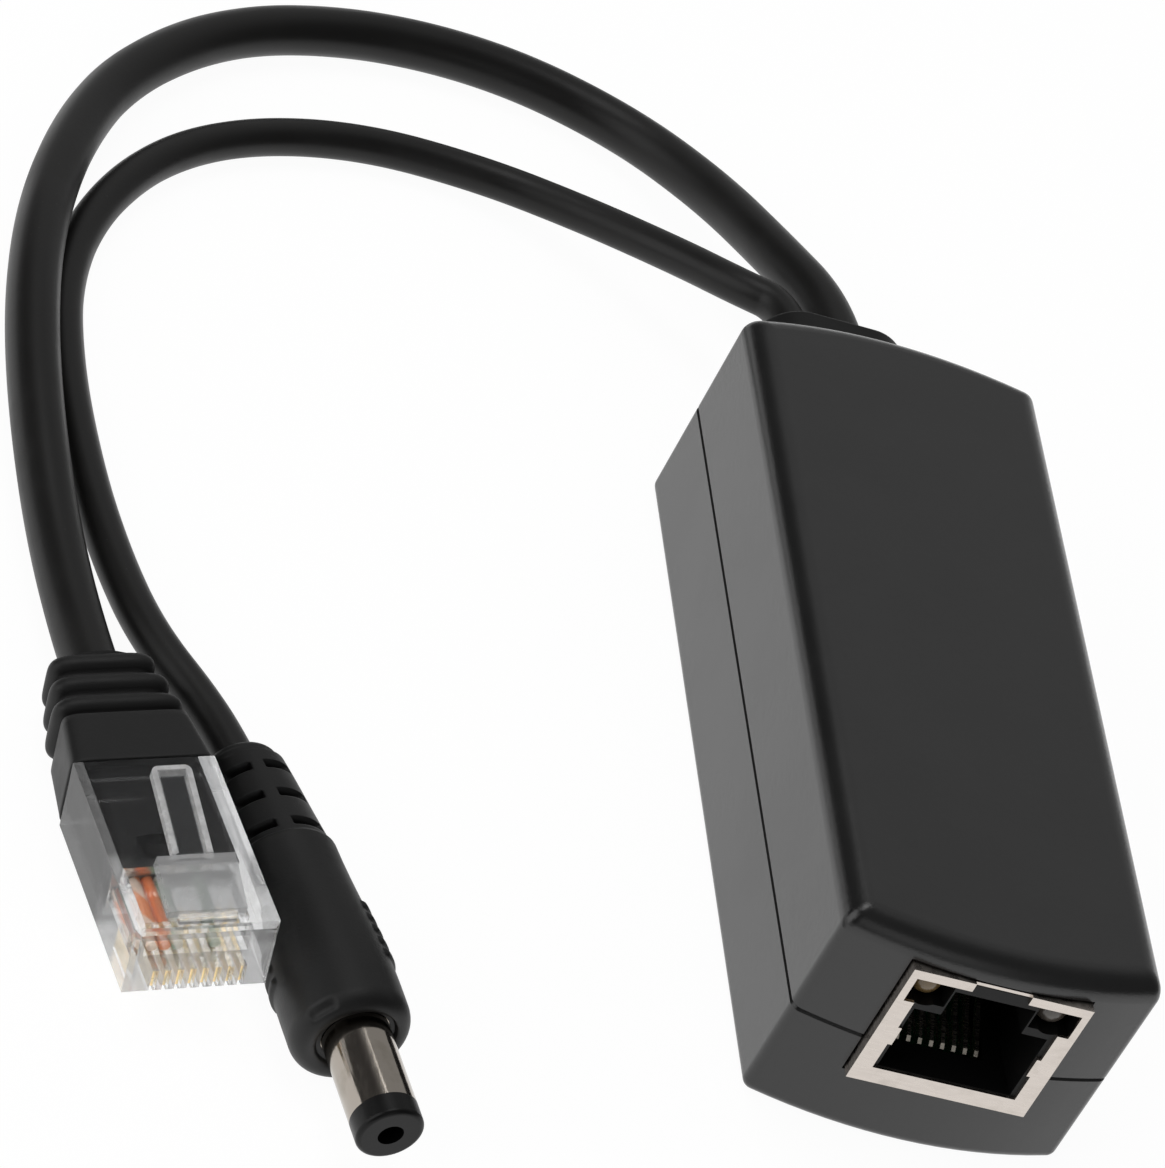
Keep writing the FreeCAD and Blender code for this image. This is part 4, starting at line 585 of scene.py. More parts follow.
@dataclass(frozen=True)
class StripedWire(Finish):
    """A thin insulated wire with a coloured band that winds slowly round it.

    Attributes:
        band: the band's colour.
        band_scale: bands per metre.
        wander: how unevenly the band winds.
        spread: how far the roughness goes to each side of the mean.
    """

    band: Colour = (0.8, 0.3, 0.1, 1.0)
    band_scale: float = 190.0
    wander: float = 1.5
    spread: float = 0.08

    def build(self) -> bpy.types.Material:
        """Makes the material with its band.

        Returns:
            The material.
        """
        material, graph, shader = self.start()
        place = graph.object_place()
        wave = graph.node("ShaderNodeTexWave", wave_type="BANDS", bands_direction="DIAGONAL")
        graph.feed(wave.inputs["Vector"], place)
        graph.feed(wave.inputs["Scale"], self.band_scale)
        graph.feed(wave.inputs["Distortion"], self.wander)
        share = graph.ramp(wave.outputs["Fac"], 0.35, 0.6)
        graph.feed(shader.inputs["Base Color"], graph.mix(share, self.colour, self.band))
        low, high = self.roughness - self.spread, self.roughness + self.spread
        rough = graph.ramp(graph.noise(place, 900.0), 0.3, 0.7, low, high)
        graph.feed(shader.inputs["Roughness"], rough)
        return material


@dataclass(frozen=True)
class RimmedClear(Finish):
    """Clear strip with a pale painted highlight on its thick edges, while its middle is see-through.

    The painted highlight lies near the strip's sides and free end, in the plug's own axes.

    Attributes:
        seat: where the plug lies.
        tab_half: half the finger tab's width, in metres.
        wide_half: half the wide part's width, in metres.
        tab_start: where the finger tab starts behind the nose, in metres.
        tab_end: where the finger tab ends behind the nose, in metres.
        rim: width of the painted highlight along the rim, in metres.
        pale: the colour of the painted highlight.
        tab_veil: how solid the tab's middle looks.
        plate_veil: how solid the wide part looks.
        plate_highlight: how far the whole wide part takes the painted highlight's colour.
    """

    seat: Seat = MODULAR_SEAT
    tab_half: float = 0.00165
    wide_half: float = 0.003175
    tab_start: float = 0.0062
    tab_end: float = 0.0143
    rim: float = 0.0006
    pale: Colour = grey(0.85)
    tab_veil: float = 0.04
    plate_veil: float = 0.42
    plate_highlight: float = 0.6

    def rims(self, graph: Graph) -> tuple[bpy.types.NodeSocket, bpy.types.NodeSocket]:
        """Marks the rims that carry the painted highlight, and the finger tab.

        Args:
            graph: the material's nodes.

        Returns:
            1 on a rim, and 1 on the tab, with 0 elsewhere.
        """
        parts = graph.in_plug(self.seat)
        along = parts.outputs["Y"]
        root = self.tab_start
        on_tab = graph.ramp(along, root - 0.0002, root + 0.0002)
        half = graph.ramp(on_tab, 0.0, 1.0, self.wide_half, self.tab_half)
        inset = graph.maths("SUBTRACT", half, graph.maths("ABSOLUTE", parts.outputs["X"]))
        side_rim = graph.ramp(inset, self.rim * 0.7, self.rim * 1.1, 1.0, 0.0)
        side_rim = graph.maths("MULTIPLY", side_rim, graph.ramp(on_tab, 0.0, 1.0, 0.3, 1.0))
        end_rim = graph.ramp(along, self.tab_end - self.rim, self.tab_end - self.rim * 0.6)
        step_on = graph.ramp(along, root - self.rim * 1.2, root - self.rim * 0.8)
        step_off = graph.ramp(along, root - 0.0001, root + 0.0001, 1.0, 0.0)
        step_rim = graph.maths("MULTIPLY", graph.maths("MULTIPLY", step_on, step_off), 0.7)
        rim = graph.maths("MAXIMUM", graph.maths("MAXIMUM", side_rim, end_rim), step_rim)
        return rim, on_tab

    def build(self) -> bpy.types.Material:
        """Makes the material with the painted highlight on its rims and wide part.

        Returns:
            The material.
        """
        material, graph, shader = self.start()
        rim, on_tab = self.rims(graph)
        plate = graph.maths("SUBTRACT", 1.0, on_tab)
        veil = graph.ramp(plate, 0.0, 1.0, self.tab_veil, self.plate_veil)
        flow = graph.noise(graph.object_place(), 900.0)
        uneven = graph.ramp(flow, 0.3, 0.7, 0.62, 0.9)
        # Painted highlight: the rims are more solid and pale, and the wide part is paler too.
        alpha = graph.maths("MAXIMUM", graph.maths("MULTIPLY", rim, uneven), veil)
        graph.feed(shader.inputs["Alpha"], alpha)
        share = graph.maths("MAXIMUM", rim, graph.maths("MULTIPLY", plate, self.plate_highlight))
        graph.feed(shader.inputs["Base Color"], graph.mix(share, self.colour, self.pale))
        rough = graph.ramp(flow, 0.3, 0.7, self.roughness, self.roughness * 2.0)
        graph.feed(shader.inputs["Roughness"], rough)
        return material


def rubber(name: str, colour: Colour, roughness: float, shine: float, **sizes: float) -> MouldedPlastic:
    """Describes a moulded finish with its own specular level.

    Args:
        name: the material's name.
        colour: the linear base colour.
        roughness: the mean roughness.
        shine: the specular level, 0.5 for a common plastic.
        sizes: the finish's other fields.

    Returns:
        The finish.
    """
    return MouldedPlastic(name, colour, roughness, {"Specular IOR Level": shine}, **sizes)


def metal(name: str, colour: Colour, roughness: float, **sizes: object) -> PlatedMetal:
    """A metal finish with its other fields."""
    return PlatedMetal(name, colour, roughness, {"Metallic": 1.0}, **sizes)


class Paint(Enum):
    """The finishes of this splitter, by where they are."""

    CASE = rubber(
        "case_plastic",
        grey(0.012),
        0.25,
        0.68,
        grain_scale=4200.0,
        bump=0.000018,
        dust=0.12,
        patchy=0.04,
    )
    INSULATOR = rubber(
        "jack_block", grey(0.006), 0.45, 0.25, grain_scale=5000.0, bump=0.00001, dust=0.1
    )
    RELIEF = rubber(
        "relief_rubber", grey(0.004), 0.5, 0.3, grain_scale=4500.0, bump=0.00001, dust=0.15
    )
    JACKET = rubber(
        "lead_jacket", grey(0.008, 0.05), 0.42, 0.35, grain_scale=3500.0, bump=0.000008, dust=0.25
    )
    BOOT = rubber("boot_rubber", grey(0.006), 0.5, 0.4, grain_scale=4000.0, bump=0.000015, dust=0.3)
    GRIP = rubber("grip_rubber", grey(0.007), 0.5, 0.4, grain_scale=4000.0, bump=0.000015, dust=0.4)
    TIP = rubber("tip_ring", grey(0.004), 0.35, 0.25, grain_scale=3000.0, bump=0.000006, dust=0.1)
    COMPONENT = MouldedPlastic("component_moulding", grey(0.02), 0.55, grain_scale=3000.0, dust=0.2)
    BOBBIN = MouldedPlastic("bobbin_moulding", grey(0.06, 0.1), 0.5)
    FERRITE = MouldedPlastic("ferrite", grey(0.05), 0.7, grain_scale=1800.0, bump=0.00005)
    TAPE = MouldedPlastic(
        "winding_tape",
        (0.62, 0.42, 0.05, 1.0),
        0.3,
        grain_scale=1500.0,
        bump=0.00003,
        dust=0.1,
    )
    CAN_SLEEVE = MouldedPlastic(
        "capacitor_sleeve",
        (0.02, 0.03, 0.08, 1.0),
        0.25,
        grain_scale=1200.0,
        bump=0.00001,
        dust=0.1,
    )
    RESISTOR = MouldedPlastic(
        "resistor_coat", grey(0.02), 0.3, grain_scale=3000.0, bump=0.00001, dust=0.0
    )
    CHIP_CERAMIC = MouldedPlastic("capacitor_ceramic", (0.35, 0.25, 0.15, 1.0), 0.4)
    SOLDER_MASK = MouldedPlastic(
        "board_mask",
        (0.01, 0.11, 0.04, 1.0),
        0.2,
        grain_scale=1500.0,
        bump=0.00001,
        dust=0.2,
    )
    LAMP_AMBER = MouldedPlastic(
        "lamp_amber", (0.26, 0.17, 0.07, 1.0), 0.3, {"Coat Weight": 0.6}, grain_scale=900.0
    )
    LAMP_GREY = MouldedPlastic(
        "lamp_grey", (0.11, 0.095, 0.08, 1.0), 0.3, {"Coat Weight": 0.6}, grain_scale=900.0
    )
    WIRE_RED = MouldedPlastic("wire_red", (0.45, 0.02, 0.02, 1.0), 0.35)
    WIRE_ORANGE = MouldedPlastic("wire_orange", (0.78, 0.20, 0.06, 1.0), 0.4)
    WIRE_WHITE = StripedWire(
        "wire_white_orange", (0.80, 0.62, 0.50, 1.0), 0.4, band=(0.80, 0.26, 0.09, 1.0)
    )
    WIRE_PALE = StripedWire(
        "wire_white_green", (0.62, 0.62, 0.56, 1.0), 0.4, band=(0.30, 0.42, 0.30, 1.0)
    )
    WIRE_GREEN = MouldedPlastic("wire_green", (0.34, 0.42, 0.34, 1.0), 0.4)
    TINNED = metal(
        "tinned_steel",
        (0.68, 0.62, 0.57, 1.0),
        0.3,
        marks=(700.0, 700.0, 5000.0),
        dull=(0.56, 0.51, 0.46, 1.0),
    )
    NICKEL = metal("nickel_plate", (0.42, 0.38, 0.335, 1.0), 0.11, marks=(5000.0, 500.0, 5000.0))
    CONTACT = metal("contact_wire", (0.95, 0.88, 0.76, 1.0), 0.28)
    GILT = metal("gilt_wire", (0.90, 0.72, 0.42, 1.0), 0.22)
    CLEAR = ClearPlastic(
        "clear_plastic",
        (0.97, 0.975, 0.975, 1.0),
        0.03,
        {"Transmission Weight": 1.0, "IOR": 1.34},
    )
    LATCH = RimmedClear("latch_clear", (0.30, 0.31, 0.32, 1.0), 0.15)


MATERIALS = {paint: paint.value.build() for paint in Paint}


def add_to_scene(name: str, data: object) -> bpy.types.Object:
    """Makes an object of some data and puts it into the scene.

    Args:
        name: the object's name.
        data: its mesh, curve, camera or lamp.

    Returns:
        The new object, at the origin.
    """
    made = bpy.data.objects.new(name, data)
    bpy.context.collection.objects.link(made)
    return made


def ringed_surface(name: str, rings: np.ndarray, paint: Paint) -> bpy.types.Object:
    """Makes a smooth closed piece from rings of points.

    Face (i, k) joins points (i, k), (i + 1, k), (i + 1, k + 1) and (i, k + 1), with k counted
    round the ring. The first and the last ring are each closed by a fan to the ring's mean point.

    Args:
        name: the piece's name.
        rings: the points in metres, as rings by points of a ring by three.
        paint: the piece's finish.

    Returns:
        The new object, at the origin.
    """
    count, around = rings.shape[:2]
    ring, step = np.meshgrid(np.arange(count - 1), np.arange(around), indexing="ij")
    after = (step + 1) % around
    here = ring * around
    quads = np.stack([here + step, here + around + step, here + around + after, here + after], axis=-1)
    turn = np.arange(around)
    following = (turn + 1) % around
    last = (count - 1) * around
    first_fan = np.stack([np.full(around, count * around), turn, following], axis=-1)
    last_fan = np.stack([np.full(around, count * around + 1), last + following, last + turn], axis=-1)
    points = np.vstack([rings.reshape(-1, 3), rings[0].mean(axis=0), rings[-1].mean(axis=0)])
    faces = quads.reshape(-1, 4).tolist() + first_fan.tolist() + last_fan.tolist()
    mesh = bpy.data.meshes.new(name)
    mesh.from_pydata(points.tolist(), [], faces)
    mesh.polygons.foreach_set("use_smooth", np.ones(len(faces), dtype=bool))
    mesh.materials.append(MATERIALS[paint])
    return add_to_scene(name, mesh)


@dataclass(frozen=True)
class Softbox:
    """A square soft lamp.

    Attributes:
        name: its name.
        place: where it stands.
        size: its side.
        power: its power in watts.
    """

    name: str
    place: Point
    size: float
    power: float

    def build(self, aim: Point) -> bpy.types.Object:
        """Makes the lamp and points it.

        Args:
            aim: the place that it points at.

        Returns:
            The lamp.
        """
        data = bpy.data.lights.new(self.name, "AREA")
        data.size = self.size
        data.energy = self.power
        lamp = add_to_scene(self.name, data)
        lamp.location = self.place
        lamp.rotation_euler = (Vector(aim) - Vector(self.place)).to_track_quat("-Z", "Y").to_euler()
        return lamp


@dataclass
class StudioView:
    """The camera at the photograph's angle, plain soft lamps and a white floor.

    Attributes:
        eye: the camera's place.
        forward: the direction in which it looks.
        downward: the picture's downward direction.
        lens: focal length for a 36 mm sensor on the picture's long side.
        middle: the place that the lamps point at.
        softboxes: the lamps round the part.
        sky: the air's least and greatest light.
        sky_side: from left to right, where the air's light starts to grow and where it is whole.
        sky_back: the same from the front to the back.
        sky_front: the share of the air's light that the front keeps.
        floor_reach: half the floor's side.
        floor_light: the floor's own light where it is seen or mirrored.
        floor_share: how much of the floor's look is its own light, the rest being shaded.
    """

    eye: Point = (-0.19959, -0.36856, 0.32052)
    forward: Point = (0.33150, 0.72835, -0.59967)
    downward: Point = (0.23357, -0.67919, -0.69581)
    lens: float = 189.05
    middle: Point = (-0.03, 0.02, 0.0)
    softboxes: tuple[Softbox, ...] = (
        Softbox("side_softbox", (-0.9, -0.15, 0.45), 0.9, 3.5),
        Softbox("top_softbox", (-0.25, 0.3, 1.15), 0.6, 2.4),
        Softbox("front_softbox", (0.1, -1.0, 0.5), 0.6, 0.5),
    )
    sky: Span = (0.06, 0.39)
    sky_side: Span = (-0.65, 0.1)
    sky_back: Span = (-0.2, 0.65)
    sky_front: float = 0.3
    floor_reach: float = 3.0
    floor_light: float = 1.06
    floor_share: float = 0.9

    def camera(self) -> bpy.types.Object:
        """Makes the camera from its place and its two directions.

        Returns:
            The camera.
        """
        data = bpy.data.cameras.new("photo_camera")
        data.lens = self.lens
        data.sensor_width = 36.0
        camera = add_to_scene("photo_camera", data)
        back = -Vector(self.forward).normalized()
        right = (-Vector(self.downward)).cross(back).normalized()
        up = back.cross(right)
        turn = Matrix((right, up, back)).transposed().to_4x4()
        camera.matrix_world = Matrix.Translation(Vector(self.eye)) @ turn
        bpy.context.scene.camera = camera
        return camera

    def world(self) -> bpy.types.World:
        """Lights the part softly from behind and its right, and shows white behind it.

        Returns:
            The world.
        """
        world = bpy.data.worlds.new("studio_air")
        world.use_nodes = True
        world.node_tree.nodes.clear()
        graph = Graph(world.node_tree)
        parts = graph.node("ShaderNodeSeparateXYZ")
        graph.feed(parts.inputs["Vector"], graph.node("ShaderNodeTexCoord").outputs["Generated"])
        sideways = graph.ramp(parts.outputs["X"], *self.sky_side)
        backwards = graph.ramp(parts.outputs["Y"], *self.sky_back, self.sky_front, 1.0)
        soft = graph.ramp(graph.maths("MULTIPLY", sideways, backwards), 0.0, 1.0, *self.sky)
        shown = graph.node("ShaderNodeMix", data_type="FLOAT")
        graph.feed(shown.inputs["Factor"], graph.ray_is("Is Camera Ray", "Is Transmission Ray"))
        graph.feed(shown.inputs["A"], soft)
        graph.feed(shown.inputs["B"], 1.0)
        shade = graph.node("ShaderNodeBackground")
        graph.feed(shade.inputs["Color"], grey(1.0))
        graph.feed(shade.inputs["Strength"], shown.outputs["Result"])
        out = graph.node("ShaderNodeOutputWorld")
        graph.feed(out.inputs["Surface"], shade.outputs["Background"])
        bpy.context.scene.world = world
        return world

    def floor(self) -> bpy.types.Object:
        """Lays a white floor under the part that keeps faint shadows.

        Returns:
            The floor.
        """
        reach = self.floor_reach
        mesh = bpy.data.meshes.new("floor")
        corners = [(-reach, -reach, 0), (reach, -reach, 0), (reach, reach, 0), (-reach, reach, 0)]
        mesh.from_pydata(corners, [], [(0, 1, 2, 3)])
        floor = add_to_scene("floor", mesh)
        finish = Finish("floor_white", grey(0.9), 0.9, {"Specular IOR Level": 0.0})
        material, graph, shader = finish.start()
        seen = graph.ray_is("Is Camera Ray", "Is Transmission Ray", "Is Glossy Ray")
        glow = graph.node("ShaderNodeEmission")
        graph.feed(glow.inputs["Color"], grey(1.0))
        graph.feed(glow.inputs["Strength"], self.floor_light)
        blend = graph.node("ShaderNodeMixShader")
        graph.feed(blend.inputs[0], graph.maths("MULTIPLY", seen, self.floor_share))
        graph.feed(blend.inputs[1], shader.outputs["BSDF"])
        graph.feed(blend.inputs[2], glow.outputs["Emission"])
        out = graph.tree.nodes["Material Output"]
        graph.feed(out.inputs["Surface"], blend.outputs["Shader"])
        mesh.materials.append(material)
        return floor

    def build(self) -> None:
        """Makes the camera, lamps, world and floor.

        Returns:
            Nothing.
        """
        self.camera()
        for softbox in self.softboxes:
            softbox.build(self.middle)
        self.world()
        self.floor()
        bpy.context.scene.view_settings.view_transform = "Standard"
        LOG.info("studio has %d lamps", len(self.softboxes))


MODULAR_PLUG = (
    "plug_body",
    "plug_contacts",
    "plug_latch",
    "conductor_white_orange",
    "conductor_orange",
    "conductor_white_green",
    "conductor_green",
)
BARREL_PLUG = ("dc_plug_barrel", "dc_plug_insulator", "dc_plug_centre_contact")


@dataclass
class Lead:
    """A free lead of round section that follows a route of control points.

    Attributes:
        name: the piece's name.
        node: the CAD node that it stands for.
        diameter: its thickness.
        length: its real length.
        plug: the pieces on its far end.
        route: control points in millimetres, from the collar to the plug.
        stiffness: how readily it bends.
        facets: segments in a quarter of its section.
        steps: segments between two control points.
    """

    name: str
    node: str
    diameter: float
    length: float
    plug: list[bpy.types.Object]
    # stiffness: how readily it bends; not used.
    route: list[Point]
    stiffness: str = "medium"
    facets: int = 10
    steps: int = 16

    def build(self) -> bpy.types.Object:
        """Returns:
            The lead.
        """
        curve = bpy.data.curves.new(self.name, "CURVE")
        curve.dimensions = "3D"
        curve.bevel_depth = self.diameter / 2
        curve.bevel_resolution = self.facets
        curve.resolution_u = self.steps
        curve.use_fill_caps = True
        spline = curve.splines.new("NURBS")
        spline.points.add(len(self.route) - 1)
        flat = np.ones((len(self.route), 4))
        flat[:, :3] = np.array(self.route) * MM
        spline.points.foreach_set("co", flat.ravel())
        spline.order_u = 3
        spline.use_endpoint_u = True
        curve.materials.append(MATERIALS[Paint.JACKET])
        lead = add_to_scene(self.name, curve)
        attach(lead, BODY)
        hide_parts(self.node)
        LOG.info("lead %s follows %d points", self.name, len(self.route))
        return lead


def leads(boot: bpy.types.Object, grip: bpy.types.Object) -> list[Lead]:
    """Lists the network lead and the low-voltage lead.

    Args:
        boot: the modular plug's boot.
        grip: the low-voltage plug's grip.

    Returns:
        The two leads, each with the pieces on its far end.
    """
    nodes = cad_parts
    network = Lead(
        name="network_lead",
        node="network_cord",
        diameter=0.0047,
        length=0.184,
        plug=[boot] + [nodes[name] for name in MODULAR_PLUG],
        route=[
            (1.75, 48.9, 10.2),
            (1.3, 55.4, 10.2),
            (-2.0, 64.2, 8.2),
            (-5.8, 76.0, 4.8),
            (-13.2, 85.6, 2.5),
            (-25.4, 89.7, 2.4),
            (-39.3, 89.0, 2.4),
            (-53.0, 83.5, 2.4),
            (-63.7, 72.8, 2.4),
            (-70.0, 59.3, 3.2),
            (-74.2, 41.6, 4.6),
            (-74.7, 23.2, 4.1),
            (-72.0, 0.2, 2.42),
            (-69.78, -11.52, 3.54),
        ],
    )
    low_voltage = Lead(
        name="low_voltage_lead",
        node="dc_cord",
        diameter=0.0035,
        length=0.159,
        plug=[grip] + [nodes[name] for name in BARREL_PLUG],
        route=[
            (-2.95, 48.9, 10.2),
            (-3.2, 54.0, 10.1),
            (-7.4, 56.4, 9.3),
            (-11.7, 61.2, 7.2),
            (-19.4, 67.8, 4.2),
            (-28.7, 72.5, 2.1),
            (-40.5, 72.8, 1.85),
            (-52.0, 68.9, 1.85),
            (-60.9, 62.1, 1.85),
            (-67.4, 52.0, 1.85),
            (-70.6, 41.1, 1.85),
            (-70.8, 29.3, 1.85),
            (-69.4, 16.3, 1.95),
            (-67.4, 5.8, 2.3),
            (-65.0, -3.2, 3.1),
            (-60.5, -10.8, 3.6),
            (-58.17, -17.25, 4.11),
            (-57.2, -20.4, 4.3),
        ],
    )
    return [network, low_voltage]


@dataclass(frozen=True)
class Patch:
    """A raised or sunk patch on a round body, in millimetres and degrees.

    Attributes:
        rise: how far it stands out, negative when it is sunk.
        reach: half its length along the body.
        edge: half the width of its eased ends.
        sweep: half its width round the body.
        soft: half the width of its eased sides.
    """

    rise: float
    reach: float
    edge: float
    sweep: float
    soft: float = 2.5

    def heights(
        self, along: np.ndarray, turn: np.ndarray, place: float, angle: float
    ) -> np.ndarray:
        """Draws one patch: rise times an eased step along the body and one round it.

        Args:
            along: places along the body.
            turn: angles round the body, in radians.
            place: the patch's middle along the body.
            angle: the patch's middle round the body.

        Returns:
            The height at each point.
        """
        off = np.abs((np.degrees(turn) - angle + 180.0) % 360.0 - 180.0)
        lengthwise = eased((self.reach + self.edge - np.abs(along - place)) / (2 * self.edge))
        return self.rise * lengthwise * eased((self.sweep + self.soft - off) / (2 * self.soft))


@dataclass
class BarrelGrip:
    """The low-voltage plug's rubber grip, with finger ribs and a slotted tail that bends.

    Lengths are millimetres. Angles are degrees round the plug, from its own +X towards its +Z.

    Attributes:
        seat: where the plug lies.
        front: the grip's front face, behind the plug's tip.
        neck: where the grip ends and its tail starts.
        tail_end: the tail's back end.
        radius: the grip's radius at its front.
        face_radius: the front face's radius, where the rounded shoulder starts.
        neck_radius: the grip's radius at its neck.
        tail_radius: the tail's radius just behind the neck.
        end_radius: the tail's radius before its rounded end.
        lead_radius: the tail's end where the lead leaves it.
        recess: places and radii from inside the sleeve's recess out to the front face.
        offset: how far the body's middle stands aside of the sleeve's.
        bend: how strongly the middle line curves aside, per millimetre.
        bend_start: where the curve starts.
        rib: a finger rib.
        rib_places: the finger ribs along the plug.
        rib_angles: the middles of the two rows of ribs.
        slot: a slot of the tail.
        slot_places: the tail's slots along the plug.
        slot_angles: the middles of the slots round the tail.
        dent: the small flat on the shoulder.
        around: points in a ring.
    """

    seat: Seat = BARREL_SEAT
    front: float = 9.4
    neck: float = 28.2
    tail_end: float = 39.6
    radius: float = 4.92
    face_radius: float = 3.8
    neck_radius: float = 4.3
    tail_radius: float = 4.08
    end_radius: float = 3.15
    lead_radius: float = 1.95
    recess: tuple[Span, ...] = (
        (14.6, 2.8),
        (14.4, 2.8),
        (10.04, 2.8),
        (10.0, 2.8),
        (10.0, 2.84),
        (10.0, 3.12),
        (9.98, 3.17),
        (9.94, 3.2),
        (9.7, 3.27),
        (9.52, 3.38),
        (9.43, 3.6),
    )
    offset: float = 0.3
    bend: float = 0.0018
    bend_start: float = 12.0
    rib: Patch = Patch(rise=0.24, reach=0.34, edge=0.16, sweep=24.0)
    rib_places: tuple[float, ...] = (15.7, 17.0, 18.3, 19.6, 20.9)
    rib_angles: tuple[float, ...] = (-12.0, 168.0)
    slot: Patch = Patch(rise=-1.5, reach=0.42, edge=0.07, sweep=20.0)
    slot_places: tuple[float, ...] = (29.4, 32.8, 36.2)
    slot_angles: tuple[float, ...] = (36.0, 100.0, 216.0, 280.0)
    dent: Patch = Patch(rise=-0.3, reach=0.3, edge=0.25, sweep=14.0)
    around: int = 160

    def profile(self) -> np.ndarray:
        """Draws half of the grip's section, from inside the recess out and back to the lead.

        The shoulder is a quarter ellipse, the grip falls as an eased step, the tail as a straight
        taper, and the tail's end is a quarter ellipse again.

        Returns:
            Places along the plug and radii, as rows of two.
        """
        quarter = np.linspace(0.0, math.pi / 2, 12)
        shoulder_y = self.front + 1.6 * (1.0 - np.cos(quarter))
        shoulder_r = self.face_radius + (self.radius - self.face_radius) * np.sin(quarter)
        grip_y = np.arange(self.front + 1.7, self.neck - 0.15, 0.12)
        grip_r = self.radius - (self.radius - self.neck_radius) * eased((grip_y - 13.0) / 14.0)
        neck_y = self.neck + np.array([-0.08, 0.0, 0.1, 0.22])
        drop = self.neck_radius - self.tail_radius
        neck_r = self.neck_radius - drop * np.array([0.05, 0.25, 0.75, 1.0])
        taper_end = self.tail_end - 1.0
        tail_y = np.arange(self.neck + 0.3, taper_end, 0.1)
        share = (tail_y - self.neck) / (taper_end - self.neck)
        tail_r = self.tail_radius - (self.tail_radius - self.end_radius) * share
        end_y = taper_end + np.sin(quarter)
        end_r = self.lead_radius + (self.end_radius - self.lead_radius) * np.cos(quarter)
        outer_y = np.concatenate([shoulder_y, grip_y, neck_y, tail_y, end_y])
        outer_r = np.concatenate([shoulder_r, grip_r, neck_r, tail_r, end_r])
        behind = np.array([(self.tail_end - 0.12, 1.72), (self.tail_end - 1.2, 1.6)])
        outer = np.stack([outer_y, outer_r], axis=-1)
        return np.vstack([np.array(self.recess), outer, behind])

    def build(self) -> bpy.types.Object:
        """Makes the grip: r(y, a) = profile + ribs - slots - dent, about a bending middle line.

        The middle line moves aside by offset + bend (y - bend_start)^2 behind bend_start, and the
        recess stays round the sleeve.

        Returns:
            The new piece.
        """
        profile = self.profile()
        along = profile[:, :1]
        turn = np.linspace(0.0, 2 * math.pi, self.around, endpoint=False)[None, :]
        radius = np.repeat(profile[:, 1:], self.around, axis=1)
        outer = (profile[:, 1:] > 2.9).astype(float)
        for place in self.rib_places:
            for angle in self.rib_angles:
                radius += outer * self.rib.heights(along, turn, place, angle)
        for place in self.slot_places:
            for angle in self.slot_angles:
                radius += outer * self.slot.heights(along, turn, place, angle)
        radius += outer * self.dent.heights(along, turn, self.front + 0.75, 103.0)
        curve = self.bend * np.clip(along - self.bend_start, 0.0, None) ** 2
        aside = self.offset * eased(radius - 3.0) + curve
        aside = np.where(along > self.tail_end - 1.5, self.offset + curve, aside)
        rings = np.stack(
            [radius * np.cos(turn) - aside, along + 0.0 * turn, radius * np.sin(turn)], axis=-1
        )
        piece = ringed_surface("barrel_plug_grip", self.seat.place(rings), Paint.GRIP)
        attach(piece, BODY)
        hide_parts("dc_plug_grip")
        LOG.info("grip has %d rings", len(profile))
        return piece


